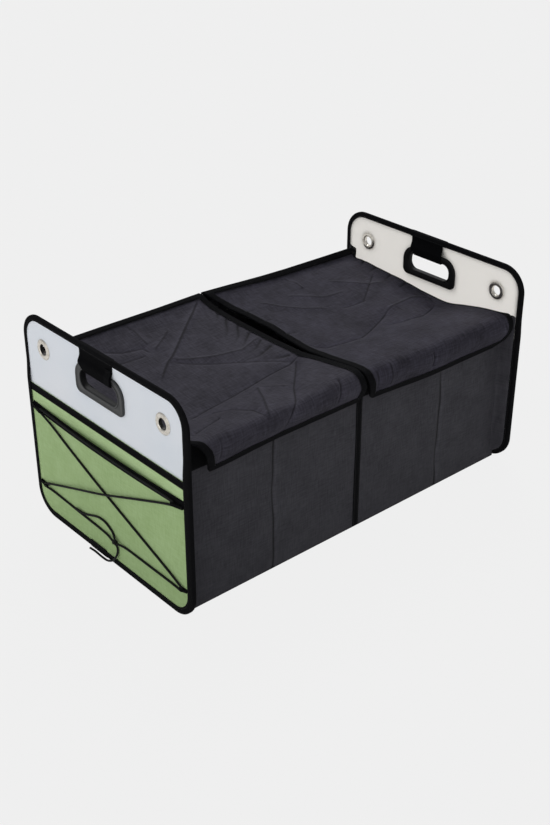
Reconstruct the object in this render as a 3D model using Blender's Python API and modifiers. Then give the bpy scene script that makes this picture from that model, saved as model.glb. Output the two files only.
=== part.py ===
"""Folding storage box for a car boot.

Two stiff end boards with carrying handles stand at the ends of a fabric body
that a divider splits in two. Each half has a soft lid, sewn to the back rim,
with a lip that hangs over the front. The near end board has a pocket that an
elastic cord is laced across.

X runs along the box, from the near end board at -X to the far one at +X.
Y runs from the front wall at -Y to the back wall, which carries the lids.
The origin is under the middle of the floor, and the box stands on z = 0.
"""

import math

import bmesh
import bpy
from mathutils import Vector

# Whole box
BOX_LENGTH = 0.597
PANEL_WIDTH = 0.356
PANEL_HEIGHT = 0.309
PANEL_RADIUS = 0.038
BODY_DEPTH = 0.3032
DIVIDER_X = 0.002

# Clearance between pieces that touch on the real box
GAP = 0.0003

# Sheet and tape stock
BOARD_THICK = 0.0030
FACING_THICK = 0.0005
TAPE_THICK = 0.0007
TAPE_WIDTH = 0.0105
WALL_THICK = 0.0022
LID_THICK = 0.0012
FLOOR_THICK = 0.0012
BASE_BOARD_THICK = 0.0030
DIVIDER_THICK = 0.0044

# Body of the box
BACK_WALL_DROP = 0.0545
FRONT_WALL_DROP = 0.0725
DIVIDER_SETBACK = 0.0025
FLARE_LENGTH = 0.0065
CREASE_DEPTH = 0.0014
CREASE_HALF = 0.0045
FLARE_BENDS = (0.37, 0.46, 0.6, 0.8, 1.05)
LEFT_CREASE_X = -0.148
RIGHT_CREASE_X = 0.162
RIM_TAPE_WIDTH = 0.010
FRONT_BAND_WIDTH = 0.034
SEAM_TAPE_WIDTH = 0.010
BASE_BOARD_CLEARANCE = 0.0020

# End board fittings; a drop is measured down from the board's top
FACING_DROP = 0.1060
FACING_TAPE_WIDTH = 0.0110
POCKET_DROP = 0.1340
POCKET_BULGE = 0.0050
POCKET_TAPE_WIDTH = 0.0095
HANDLE_WIDTH = 0.104
HANDLE_HEIGHT = 0.046
HANDLE_DROP = 0.0475
HANDLE_TOP_RADIUS = 0.022
HANDLE_LOW_RADIUS = 0.010
HAND_HOLE_WIDTH = 0.081
HAND_HOLE_HEIGHT = 0.026
HAND_HOLE_RADIUS = 0.0115
FLANGE_THICK = 0.0034
COLLAR_WALL = 0.0020
CLIP_THICK = 0.0026
GRIP_Y = 0.0055
GRIP_WIDTH = 0.070
GRIP_THICK = 0.0010
EYELET_Y = 0.130
EYELET_DROP = 0.044
EYELET_RADIUS = 0.0145
EYELET_HOLE_RADIUS = 0.0075
EYELET_RISE = 0.0018
BARREL_WALL = 0.0007
WASHER_RADIUS = 0.0132
WASHER_THICK = 0.0009

# Lids
LID_MIDDLE_GAP = 0.022
LID_TAPE_WIDTH = 0.0100
LID_BACK_SETBACK = 0.0004
LID_REST_GAP = 0.0004
HINGE_OUTSET = 0.0024
LID_COLUMNS = 4

# Elastic cord
CORD_RADIUS = 0.0015
TAB_THICK = 0.0008
TAB_WIDTH = 0.0044
CORD_TURN_RADIUS = 0.0036
CORD_TURN_STRETCH = 1.3
KNOT_RADIUS = 0.0048
KNOT_RIB_DEPTH = 0.10
KNOT_RIBS = 3
KNOT_TWIST = 900
LACED_WIDTH = 0.356
LACED_HEIGHT = 0.175

# Number of facets
CORNER_STEPS = 7
ROUND_STEPS = 14
CORD_STEP = 0.045
CORD_BEND = 32
TAPE_STEP = 0.005
CURVE_STEPS = 20
HANDLE_STEPS = 4
POCKET_ROWS = 5

# Places that follow from the sizes above
TAPE_EDGE = GAP + TAPE_THICK
FACE_X = BOX_LENGTH / 2
BACK_WALL_TOP = PANEL_HEIGHT - BACK_WALL_DROP
FRONT_WALL_TOP = PANEL_HEIGHT - FRONT_WALL_DROP
FACING_TOP = PANEL_HEIGHT - FACING_DROP
FACING_TAPE_LOW = FACING_TOP - FACING_TAPE_WIDTH
POCKET_TOP = PANEL_HEIGHT - POCKET_DROP
HANDLE_Z = PANEL_HEIGHT - HANDLE_DROP
EYELET_Z = PANEL_HEIGHT - EYELET_DROP
INNER_X = FACE_X - BOARD_THICK
BODY_X = INNER_X - GAP - TAPE_EDGE
WALL_Y = BODY_DEPTH / 2
WALL_MID_Y = WALL_Y - WALL_THICK / 2
BOARD_LOW = TAPE_EDGE
BOARD_TOP = PANEL_HEIGHT - TAPE_EDGE
BOARD_WIDTH = PANEL_WIDTH - 2 * TAPE_EDGE
BOARD_RADIUS = PANEL_RADIUS - TAPE_EDGE
TAPE_COVER = TAPE_WIDTH - TAPE_EDGE
BACK_RIM_TOP = BACK_WALL_TOP + TAPE_EDGE
FRONT_RIM_TOP = FRONT_WALL_TOP + TAPE_EDGE
DIVIDER_TOP = FRONT_WALL_TOP - RIM_TAPE_WIDTH - DIVIDER_SETBACK
LID_HALF = LID_THICK / 2
LID_SKIN = LID_HALF + GAP + TAPE_THICK
LID_END_X = BODY_X - FLARE_LENGTH - TAPE_EDGE - GAP
HINGE_Y = WALL_Y + TAPE_EDGE + HINGE_OUTSET
HINGE_Z = BACK_RIM_TOP
FACING_OUT = GAP + FACING_THICK
POCKET_BASE = FACING_OUT + GAP
POCKET_OUT = POCKET_BASE + FACING_THICK
ON_TAPE = GAP + TAPE_THICK
LACED_LIFT = POCKET_OUT + ON_TAPE
GRIP_LIFT = GAP + GRIP_THICK
WALL_LOW = FLOOR_THICK + GAP


def clear_scene():
    """Take away whatever the file opened with."""
    for old in list(bpy.data.objects):
        bpy.data.objects.remove(old, do_unlink=True)


def new_collection(name):
    group = bpy.data.collections.new(name)
    bpy.context.scene.collection.children.link(group)
    return group


clear_scene()
BOX = new_collection("car_storage_box")


def material(name, colour, roughness, metallic=0.0):
    """Principled material from an sRGB hex colour."""
    made = bpy.data.materials.new(name)
    made.use_nodes = True
    shader = made.node_tree.nodes["Principled BSDF"]
    levels = [int(colour[i:i + 2], 16) / 255 for i in (1, 3, 5)]
    linear = [c / 12.92 if c <= 0.04045 else ((c + 0.055) / 1.055) ** 2.4 for c in levels]
    shader.inputs["Base Color"].default_value = (*linear, 1.0)
    shader.inputs["Roughness"].default_value = roughness
    shader.inputs["Metallic"].default_value = metallic
    return made


def finish(made, colour, roughness, metallic=0.0):
    """Give an object its own material and put it with the other parts."""
    made.data.materials.append(material(made.name, colour, roughness, metallic))
    for group in list(made.users_collection):
        group.objects.unlink(made)
    BOX.objects.link(made)
    return made


BLACK_TAPE = ("#161617", 0.85)
DARK_FABRIC = ("#38373C", 0.90)
WHITE_BOARD = ("#D3D6DA", 0.45)
GREEN_FABRIC = ("#8EA676", 0.90)
HANDLE_PLASTIC = ("#3A3D3D", 0.50)
NICKEL = ("#C9C6BE", 0.30, 1.0)
ELASTIC = ("#121213", 0.80)


def mesh_object(name, bm):
    """Turn a bmesh into an object whose faces point out."""
    bmesh.ops.recalc_face_normals(bm, faces=bm.faces)
    data = bpy.data.meshes.new(name)
    bm.to_mesh(data)
    bm.free()
    made = bpy.data.objects.new(name, data)
    BOX.objects.link(made)
    return made


def loft(name, stations, closed=False):
    """Skin through sections that have the same number of points."""
    bm = bmesh.new()
    rows = [[bm.verts.new(point) for point in station] for station in stations]
    count = len(rows[0])
    last = len(rows) if closed else len(rows) - 1
    for i in range(last):
        here, there = rows[i], rows[(i + 1) % len(rows)]
        for j in range(count):
            k = (j + 1) % count
            bm.faces.new((here[j], here[k], there[k], there[j]))
    if not closed:
        bm.faces.new(rows[0])
        bm.faces.new(rows[-1])
        bmesh.ops.triangulate(bm, faces=[f for f in bm.faces if len(f.verts) > 4])
    return mesh_object(name, bm)


def cloth(name, rows, thickness):
    """Sheet of the given thickness whose middle surface passes through a grid."""
    bm = bmesh.new()
    across, along = len(rows[0]), len(rows)
    bmesh.ops.create_grid(bm, x_segments=across - 1, y_segments=along - 1, size=1.0)
    bm.verts.ensure_lookup_table()
    for index, vert in enumerate(bm.verts):
        vert.co = rows[index // across][index % across]
    made = mesh_object(name, bm)
    shell = made.modifiers.new("thickness", "SOLIDIFY")
    shell.thickness = thickness
    shell.offset = 0.0
    shell.use_even_offset = True
    return made


def shell(name, grid, directions, thickness):
    """Sheet whose two faces lie half a thickness from a grid, along given directions."""
    bm = bmesh.new()
    layers = []
    for reach in (thickness / 2, -thickness / 2):
        layers.append([[bm.verts.new(point + way * reach) for point, way in zip(*pair)]
                       for pair in zip(grid, directions)])
    last_row, last_column = len(grid) - 1, len(grid[0]) - 1
    for rows in layers:
        for i in range(last_row):
            for j in range(last_column):
                a, b = rows[i][j], rows[i][j + 1]
                c, d = rows[i + 1][j + 1], rows[i + 1][j]
                bm.faces.new((a, b, c))
                bm.faces.new((a, c, d))
    rim = border_loop(last_row, last_column)
    for (i, j), (k, m) in zip(rim, rim[1:] + rim[:1]):
        bm.faces.new((layers[0][i][j], layers[0][k][m], layers[1][k][m], layers[1][i][j]))
    return mesh_object(name, bm)


def border_loop(last_row, last_column):
    """Row and column numbers round the border of a grid, in order."""
    loop = [(0, j) for j in range(last_column)]
    loop += [(i, last_column) for i in range(last_row)]
    loop += [(last_row, j) for j in range(last_column, 0, -1)]
    loop += [(i, 0) for i in range(last_row, 0, -1)]
    return loop


def border_tape(name, grid, directions, is_taped):
    """Tape folded round the edge of a lid, on the cells of its grid that are chosen."""
    bm = bmesh.new()
    last_row, last_column = len(grid) - 1, len(grid[0]) - 1
    rim = border_loop(last_row, last_column)
    outward = {}
    for index, (i, j) in enumerate(rim):
        here = grid[i][j]
        ways = []
        for k, m in (rim[index - 1], rim[(index + 1) % len(rim)]):
            along = (grid[k][m] - here).normalized()
            ways.append(along.cross(directions[i][j]).normalized())
        sideways = (ways[1] - ways[0]) / (1 + max(-ways[0].dot(ways[1]), 0.0))
        inside = grid[min(max(i, 1), last_row - 1)][min(max(j, 1), last_column - 1)]
        outward[(i, j)] = sideways if sideways.dot(here - inside) > 0 else -sideways

    made = {}

    def vert(layer, i, j):
        if (layer, i, j) not in made:
            reach = {"top": LID_SKIN, "over": LID_HALF + GAP, "under": -LID_HALF - GAP,
                     "bottom": -LID_SKIN, "high": LID_HALF + GAP, "low": -LID_HALF - GAP}[layer]
            out = TAPE_EDGE if layer in ("high", "low") else GAP
            spot = grid[i][j] + directions[i][j] * reach
            if (i, j) in outward:
                spot = spot + outward[(i, j)] * out
            made[(layer, i, j)] = bm.verts.new(spot)
        return made[(layer, i, j)]

    sides = {}
    for i in range(last_row):
        for j in range(last_column):
            if not is_taped(i, j):
                continue
            cell = [(i, j), (i, j + 1), (i + 1, j + 1), (i + 1, j)]
            for layer in ("top", "over", "under", "bottom"):
                a, b, c, d = [vert(layer, *place) for place in cell]
                bm.faces.new((a, b, c))
                bm.faces.new((a, c, d))
            for side in zip(cell, cell[1:] + cell[:1]):
                sides[frozenset(side)] = sides.get(frozenset(side), []) + [side]
    rim_sides = {frozenset(side) for side in zip(rim, rim[1:] + rim[:1])}
    for key, uses in sides.items():
        if len(uses) != 1:
            continue
        start, stop = uses[0]
        chain = [("top", "over"), ("under", "bottom")]
        if key in rim_sides:
            chain = [("top", "high"), ("high", "low"), ("low", "bottom"), ("over", "under")]
        for upper, lower in chain:
            bm.faces.new((vert(upper, *start), vert(upper, *stop),
                          vert(lower, *stop), vert(lower, *start)))
    return mesh_object(name, bm)


def sheet_directions(grid):
    """Direction square to a sheet at each point of its grid, the upper side first."""
    last_row, last_column = len(grid) - 1, len(grid[0]) - 1
    rows = []
    for i in range(last_row + 1):
        row = []
        for j in range(last_column + 1):
            over = grid[i][min(j + 1, last_column)] - grid[i][max(j - 1, 0)]
            back = (grid[i][j] - grid[max(i - 1, 0)][j]).normalized()
            ahead = (grid[min(i + 1, last_row)][j] - grid[i][j]).normalized()
            square = over.cross(back + ahead).normalized()
            row.append(square if over.x < 0 else -square)
        rows.append(row)
    return rows


def outline_curve(name, outlines, thickness):
    """Flat plate from closed outlines; the ones inside the first are holes."""
    data = bpy.data.curves.new(name, "CURVE")
    data.dimensions = "2D"
    data.fill_mode = "BOTH"
    data.extrude = thickness / 2
    for outline in outlines:
        spline = data.splines.new("POLY")
        spline.points.add(len(outline) - 1)
        for point, (u, v) in zip(spline.points, outline):
            point.co = (u, v, 0.0, 1.0)
        spline.use_cyclic_u = True
    made = bpy.data.objects.new(name, data)
    BOX.objects.link(made)
    return made


def cross_plate(name, outlines, x_low, x_high):
    """Plate that stands across the box, its outlines in Y and Z."""
    made = outline_curve(name, outlines, x_high - x_low)
    made.rotation_euler = (math.pi / 2, 0.0, math.pi / 2)
    made.location.x = (x_low + x_high) / 2
    return made


def block(name, low, high):
    """Plain box between two corners."""
    bm = bmesh.new()
    bmesh.ops.create_cube(bm, size=1.0)
    for vert in bm.verts:
        vert.co = [a + (b - a) * (c + 0.5) for a, b, c in zip(low, high, vert.co)]
    return mesh_object(name, bm)


def round_outline(width, low, high, top_radius, low_radius, steps=CORNER_STEPS, middle=0.0):
    """Rounded rectangle in Y and Z, anticlockwise from the lower right corner."""
    half = width / 2
    corners = ((half, low, -90, low_radius), (half, high, 0, top_radius),
               (-half, high, 90, top_radius), (-half, low, 180, low_radius))
    points = []
    for y, z, start, radius in corners:
        centre_y = y - math.copysign(radius, y)
        centre_z = z + (radius if z == low else -radius)
        for step in range(steps + 1):
            angle = math.radians(start + 90 * step / steps)
            points.append((middle + centre_y + radius * math.cos(angle),
                           centre_z + radius * math.sin(angle)))
    return points


def circle_outline(y, z, radius):
    turn = 2 * math.pi / ROUND_STEPS
    return [(y + radius * math.cos(turn * i), z + radius * math.sin(turn * i))
            for i in range(ROUND_STEPS)]


def ease(value):
    """Smooth step from 0 to 1."""
    value = min(max(value, 0.0), 1.0)
    return value * value * (3 - 2 * value)


def smooth_curve(points):
    """Close-set points on a Catmull-Rom curve through hand-placed ones."""
    ends = [2 * points[0] - points[1], *points, 2 * points[-1] - points[-2]]
    fine = []
    for a, b, c, d in zip(ends, ends[1:], ends[2:], ends[3:]):
        for i in range(CURVE_STEPS):
            t = i / CURVE_STEPS
            fine.append(0.5 * (2 * b + (c - a) * t + (2 * a - 5 * b + 4 * c - d) * t * t
                               + (3 * b - a - 3 * c + d) * t ** 3))
    fine.append(points[-1])
    return fine


def smooth_path(points, step, bend):
    """Points along a smooth curve, closer together where it bends."""
    fine = smooth_curve(points)
    kept = [fine[0]]
    heading, run = fine[1] - fine[0], 0.0
    for here, after in zip(fine[1:-1], fine[2:]):
        run = (here - kept[-1]).length
        ahead = after - here
        if run > step or heading.angle(ahead, 0.0) > math.radians(bend):
            kept.append(here)
            heading = ahead
    if (fine[-1] - kept[-1]).length < step / 8 and len(kept) > 2:
        kept.pop()
    return kept + [fine[-1]]


def tube(name, points, radius):
    """Round cord along a list of points, with closed ends."""
    data = bpy.data.curves.new(name, "CURVE")
    data.dimensions = "3D"
    data.bevel_depth = radius
    data.bevel_resolution = 1
    data.use_fill_caps = True
    spline = data.splines.new("POLY")
    spline.points.add(len(points) - 1)
    for target, point in zip(spline.points, points):
        target.co = (*point, 1.0)
    made = bpy.data.objects.new(name, data)
    BOX.objects.link(made)
    return made


# End boards and what is sewn or snapped to them.
# A place on an end is (side, depth): depth grows outward from the board's outer face.

def at_depth(side, depth):
    return side * (FACE_X + depth)


def cross_span(side, depth_a, depth_b):
    return sorted((at_depth(side, depth_a), at_depth(side, depth_b)))


def board_half_width(z, inset=0.0):
    """Half width of the end board at a height, inside a margin along its edge."""
    radius = BOARD_RADIUS - inset
    beyond = max(BOARD_LOW + BOARD_RADIUS - z, z - BOARD_TOP + BOARD_RADIUS, 0.0)
    return BOARD_WIDTH / 2 - BOARD_RADIUS + math.sqrt(max(radius ** 2 - beyond ** 2, 0.0))


def pocket_depth(y, z):
    """Depth of the pocket's middle surface; it bags out towards its mouth."""
    half = PANEL_WIDTH / 2 - TAPE_WIDTH
    across = max(1 - (y / half) ** 2, 0.0)
    up = ease((z - TAPE_WIDTH) / (POCKET_TOP - TAPE_WIDTH))
    return POCKET_BASE + FACING_THICK / 2 + POCKET_BULGE * across * up


def make_board(side, prefix):
    """Stiff translucent plastic sheet with the hand hole and two eyelet holes."""
    hole_high = HANDLE_Z + HAND_HOLE_HEIGHT / 2 + COLLAR_WALL + GAP
    hole_low = HANDLE_Z - HAND_HOLE_HEIGHT / 2 - COLLAR_WALL - GAP
    hole_radius = HAND_HOLE_RADIUS + COLLAR_WALL + GAP
    eyelet_hole = EYELET_HOLE_RADIUS + BARREL_WALL + GAP
    outlines = [round_outline(BOARD_WIDTH, BOARD_LOW, BOARD_TOP, BOARD_RADIUS, BOARD_RADIUS),
                round_outline(HAND_HOLE_WIDTH + 2 * (COLLAR_WALL + GAP), hole_low, hole_high,
                              hole_radius, hole_radius)]
    outlines += [circle_outline(y, EYELET_Z, eyelet_hole) for y in (-EYELET_Y, EYELET_Y)]
    low, high = cross_span(side, -BOARD_THICK, 0.0)
    return finish(cross_plate(prefix + "_end_board", outlines, low, high), *WHITE_BOARD)


def tape_path():
    """Points round the board's edge with their outward direction, in Y and Z."""
    outline = round_outline(BOARD_WIDTH, BOARD_LOW, BOARD_TOP, BOARD_RADIUS, BOARD_RADIUS)
    count = len(outline)
    centre_y = BOARD_WIDTH / 2 - BOARD_RADIUS
    path = []
    for i, (y, z) in enumerate(outline):
        middle_y = math.copysign(centre_y, y)
        middle_z = min(max(z, BOARD_LOW + BOARD_RADIUS), BOARD_TOP - BOARD_RADIUS)
        outward = Vector((y - middle_y, z - middle_z)).normalized()
        path.append((Vector((y, z)), outward))
        next_y, next_z = outline[(i + 1) % count]
        if (i + 1) % (CORNER_STEPS + 1):
            continue
        if abs(next_y - y) < abs(next_z - z):
            rising = next_z > z
            marks = [FACING_TOP, FACING_TOP + TAPE_STEP]
            places = [(y, mark) for mark in (marks if rising else reversed(marks))]
        elif z > HANDLE_Z:
            half = GRIP_WIDTH / 2 + GAP
            places = [(GRIP_Y + half + 0.003, z), (GRIP_Y + half, z),
                      (GRIP_Y - half, z), (GRIP_Y - half - 0.003, z)]
        else:
            places = []
        path += [(Vector(place), outward) for place in places]
    return path


def tape_lift(point):
    """How far the tape stands off the board's outer and inner faces."""
    if point.y <= FACING_TOP + GAP:
        return LACED_LIFT, 0.0
    under_grip = abs(point.x - GRIP_Y) <= GRIP_WIDTH / 2 + 2 * GAP
    if point.y > HANDLE_Z and under_grip:
        return GRIP_LIFT, GRIP_LIFT
    return 0.0, 0.0


def make_edge_tape(side, prefix):
    """Folded tape sewn all round the board's edge, over whatever it catches."""
    stations = []
    for point, outward in tape_path():
        out_lift, in_lift = tape_lift(point)
        outer = out_lift + GAP
        inner = -BOARD_THICK - in_lift - GAP
        inset = -TAPE_COVER
        section = [(inset, outer), (inset, outer + TAPE_THICK),
                   (GAP, outer + TAPE_THICK), (TAPE_EDGE, outer),
                   (TAPE_EDGE, inner), (GAP, inner - TAPE_THICK),
                   (inset, inner - TAPE_THICK), (inset, inner),
                   (GAP, inner), (GAP, outer)]
        station = []
        for reach, depth in section:
            spot = point + outward * reach
            station.append((at_depth(side, depth), spot.x, spot.y))
        stations.append(station)
    return finish(loft(prefix + "_edge_tape", stations, closed=True), *BLACK_TAPE)


def facing_outline(top):
    """Lower part of the board's outline, cut off level at the given height."""
    whole = round_outline(BOARD_WIDTH, BOARD_LOW, BOARD_TOP, BOARD_RADIUS, BOARD_RADIUS)
    kept = CORNER_STEPS + 1
    half = BOARD_WIDTH / 2
    return [*whole[:kept], (half, top), (-half, top), *whole[-kept:]]


def make_facing(side, prefix):
    """Coloured cloth on the lower part of the board, with tape over its top edge."""
    low, high = cross_span(side, GAP, FACING_OUT)
    finish(cross_plate(prefix + "_facing", [facing_outline(FACING_TOP)], low, high), *GREEN_FABRIC)
    half = BOARD_WIDTH / 2
    low, high = cross_span(side, POCKET_BASE, POCKET_BASE + TAPE_THICK)
    strip = block(prefix + "_facing_tape", (low, -half, FACING_TAPE_LOW), (high, half, FACING_TOP))
    finish(strip, *BLACK_TAPE)


def pocket_columns(z):
    """Places across the pocket at a height: its edges, its seams and between them."""
    edge = board_half_width(z)
    seam = edge - TAPE_COVER
    shares = [-1.0, -0.7, -0.35, 0.0, 0.35, 0.7, 1.0]
    return [-edge, *[seam * share for share in shares], edge]


def make_pocket(side, prefix):
    """Flat cloth pocket on the facing, its mouth bagging open, and the mouth's tape."""
    low = POCKET_TOP - POCKET_TAPE_WIDTH
    heights = [BOARD_LOW + 0.001, 0.0065, TAPE_WIDTH]
    heights += [TAPE_WIDTH + (low - TAPE_WIDTH) * i / POCKET_ROWS
                for i in range(1, POCKET_ROWS + 1)] + [POCKET_TOP]
    grid = [[Vector((at_depth(side, pocket_depth(y, z)), y, z)) for y in pocket_columns(z)]
            for z in heights]
    out = [[Vector((side, 0.0, 0.0))] * len(row) for row in grid]
    finish(shell(prefix + "_pocket", grid, out, FACING_THICK), *GREEN_FABRIC)
    stations = []
    half = FACING_THICK / 2
    skin = half + GAP
    for y in pocket_columns(low):
        foot, mouth = pocket_depth(y, low), pocket_depth(y, POCKET_TOP)
        section = [(foot + skin, low), (foot + skin + TAPE_THICK, low),
                   (mouth + skin + TAPE_THICK, POCKET_TOP + GAP),
                   (mouth + skin, POCKET_TOP + TAPE_EDGE),
                   (mouth - half, POCKET_TOP + TAPE_EDGE),
                   (mouth - half, POCKET_TOP + GAP), (mouth + skin, POCKET_TOP + GAP)]
        stations.append([(at_depth(side, depth), y, z) for depth, z in section])
    finish(loft(prefix + "_pocket_tape", stations), *BLACK_TAPE)


def handle_outlines(grow_outer, grow_hole):
    """Outer and hole outlines of the handle, each grown by a margin."""
    steps = HANDLE_STEPS
    outer = round_outline(HANDLE_WIDTH + 2 * grow_outer,
                          HANDLE_Z - HANDLE_HEIGHT / 2 - grow_outer,
                          HANDLE_Z + HANDLE_HEIGHT / 2 + grow_outer,
                          HANDLE_TOP_RADIUS + grow_outer, HANDLE_LOW_RADIUS + grow_outer, steps)
    hole = round_outline(HAND_HOLE_WIDTH + 2 * grow_hole,
                         HANDLE_Z - HAND_HOLE_HEIGHT / 2 - grow_hole,
                         HANDLE_Z + HAND_HOLE_HEIGHT / 2 + grow_hole,
                         HAND_HOLE_RADIUS + grow_hole, HAND_HOLE_RADIUS + grow_hole, steps)
    return outer, hole


def make_handle(side, prefix):
    """Moulded frame pushed through the board from outside, and the ring that locks it."""
    round_over = FLANGE_THICK * 0.35
    collar_end = -BOARD_THICK - GAP - CLIP_THICK
    outer, hole = handle_outlines(0.0, 0.0)
    top, lip = handle_outlines(-round_over, round_over)
    _, collar = handle_outlines(0.0, COLLAR_WALL)
    loops = [(outer, GAP), (outer, FLANGE_THICK - round_over), (top, FLANGE_THICK),
             (lip, FLANGE_THICK), (hole, FLANGE_THICK - round_over), (hole, collar_end),
             (collar, collar_end), (collar, GAP)]
    rings = [[(at_depth(side, depth), y, z) for y, z in points] for points, depth in loops]
    finish(loft(prefix + "_handle_frame", rings, closed=True), *HANDLE_PLASTIC)

    clip_out = -BOARD_THICK - GAP
    clip_in = clip_out - CLIP_THICK
    _, clip_hole = handle_outlines(0.0, COLLAR_WALL + GAP)
    loops = [(outer, clip_out), (outer, clip_in + round_over), (top, clip_in),
             (clip_hole, clip_in), (clip_hole, clip_out)]
    rings = [[(at_depth(side, depth), y, z) for y, z in points] for points, depth in loops]
    finish(loft(prefix + "_handle_ring", rings, closed=True), *HANDLE_PLASTIC)


def make_grip(side, prefix):
    """Strap caught under the edge tape, slung through the hand hole round the top bar."""
    half = GRIP_THICK / 2
    strap_top = BOARD_TOP - GAP
    frame_top = HANDLE_Z + HANDLE_HEIGHT / 2
    bar_low = HANDLE_Z + HAND_HOLE_HEIGHT / 2 - GAP - half
    on_board = GAP + half
    on_frame = FLANGE_THICK + GAP + half
    in_board = -BOARD_THICK - GAP - half
    in_ring = -BOARD_THICK - 2 * GAP - CLIP_THICK - half
    soft = 0.0006
    path = [(on_board, strap_top), (on_board, frame_top + 0.006), (on_frame, frame_top + 0.0006),
            (on_frame, bar_low + soft), (on_frame - soft, bar_low),
            (in_ring + soft, bar_low), (in_ring, bar_low + soft),
            (in_ring, frame_top + 0.0006), (in_board, frame_top + 0.006), (in_board, strap_top)]
    low, high = GRIP_Y - GRIP_WIDTH / 2, GRIP_Y + GRIP_WIDTH / 2
    in_hole = HAND_HOLE_WIDTH / 2 - HAND_HOLE_RADIUS
    rows = []
    for depth, z in path:
        reach = in_hole + max(z - bar_low - soft, 0.0) * 1.5
        span = (max(low, -reach), min(high, reach))
        rows.append([(at_depth(side, depth), y, z) for y in span])
    finish(cloth(prefix + "_grip_strap", rows, GRIP_THICK), *BLACK_TAPE)


def turned(name, profile, side, y, z, finish_as):
    """Ring turned about a line through the end board; the profile is (radius, depth)."""
    bm = bmesh.new()
    verts = [bm.verts.new((radius, 0.0, depth)) for radius, depth in profile]
    for a, b in zip(verts, verts[1:] + verts[:1]):
        bm.edges.new((a, b))
    data = bpy.data.meshes.new(name)
    bm.to_mesh(data)
    bm.free()
    made = bpy.data.objects.new(name, data)
    BOX.objects.link(made)
    spin = made.modifiers.new("turn", "SCREW")
    spin.axis = "Z"
    spin.steps = ROUND_STEPS
    spin.render_steps = ROUND_STEPS
    spin.use_merge_vertices = True
    spin.merge_threshold = 0.00001
    made.rotation_euler = (0.0, side * math.pi / 2, 0.0)
    made.location = (side * FACE_X, y, z)
    return finish(made, *finish_as)


def make_eyelet(side, prefix, name, y):
    """Pressed metal eyelet through the board, and the washer it is set against."""
    hole = EYELET_HOLE_RADIUS
    barrel = hole + BARREL_WALL
    barrel_end = -BOARD_THICK - GAP - WASHER_THICK
    crown = (hole + EYELET_RADIUS) / 2
    profile = [(hole, barrel_end), (hole, EYELET_RISE * 0.6), (hole + 0.0014, EYELET_RISE),
               (crown, EYELET_RISE),
               (EYELET_RADIUS, GAP), (barrel, GAP), (barrel, barrel_end)]
    turned(f"{prefix}_eyelet_{name}", profile, side, y, EYELET_Z, NICKEL)
    washer_out = -BOARD_THICK - GAP
    washer = [(barrel + GAP, washer_out - WASHER_THICK), (barrel + GAP, washer_out),
              (WASHER_RADIUS, washer_out), (WASHER_RADIUS - 0.0006, washer_out - WASHER_THICK)]
    turned(f"{prefix}_washer_{name}", washer, side, y, EYELET_Z, NICKEL)


def make_end(side, prefix):
    make_board(side, prefix)
    make_edge_tape(side, prefix)
    make_facing(side, prefix)
    make_pocket(side, prefix)
    make_handle(side, prefix)
    make_grip(side, prefix)
    make_eyelet(side, prefix, "front", -EYELET_Y)
    make_eyelet(side, prefix, "back", EYELET_Y)


# Fabric body

def wall_out(x, z, crease_x):
    """Distance of a wall's middle surface from the box's middle plane."""
    margin = WALL_THICK / 2 + 2 * GAP
    edge = max(board_half_width(z, TAPE_COVER) - margin, WALL_MID_Y)
    flare = ease((abs(x) - (BODY_X - FLARE_LENGTH)) / FLARE_LENGTH)
    crease = max(1 - abs(x - crease_x) / CREASE_HALF, 0.0)
    return WALL_MID_Y + (edge - WALL_MID_Y) * flare - CREASE_DEPTH * crease


def wall_columns(x_from, x_to, crease_x):
    """Places along a wall that its flared end and its fold line need."""
    side = 1 if abs(x_to) > abs(x_from) else -1
    bends = [side * (BODY_X - FLARE_LENGTH * share) for share in (0.0, 0.5, 1.0)]
    folds = [crease_x - CREASE_HALF, crease_x, crease_x + CREASE_HALF]
    inner_end = x_from if side > 0 else x_to
    return sorted([inner_end, *folds, *bends])


def make_wall(name, front, x_from, x_to, crease_x, top):
    """Stiffened fabric wall with a fold line down its middle, flared out to the end board."""
    sign = -1 if front else 1
    heights = [WALL_LOW, *[PANEL_RADIUS * share for share in FLARE_BENDS], top]
    columns = wall_columns(x_from, x_to, crease_x)
    grid = [[Vector((x, sign * wall_out(x, z, crease_x), z)) for x in columns] for z in heights]
    out = [[Vector((0.0, sign, 0.0))] * len(row) for row in grid]
    return finish(shell(name, grid, out, WALL_THICK), *DARK_FABRIC)


def make_rim(name, front, x_from, x_to, crease_x, top, outer_width, inner_width):
    """Tape folded over a wall's top edge."""
    sign = -1 if front else 1
    half = WALL_THICK / 2 + 2 * GAP
    columns = wall_columns(x_from, x_to, crease_x)
    section = [(-half, -inner_width), (-half, GAP), (half, GAP), (half, -outer_width),
               (half + TAPE_THICK, -outer_width), (half + TAPE_THICK, GAP),
               (half, TAPE_EDGE), (-half, TAPE_EDGE),
               (-half - TAPE_THICK, GAP), (-half - TAPE_THICK, -inner_width)]
    stations = []
    for x in columns:
        y = wall_out(x, top, crease_x)
        stations.append([(x, sign * (y + across), top + up) for across, up in section])
    return finish(loft(name, stations), *BLACK_TAPE)


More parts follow.
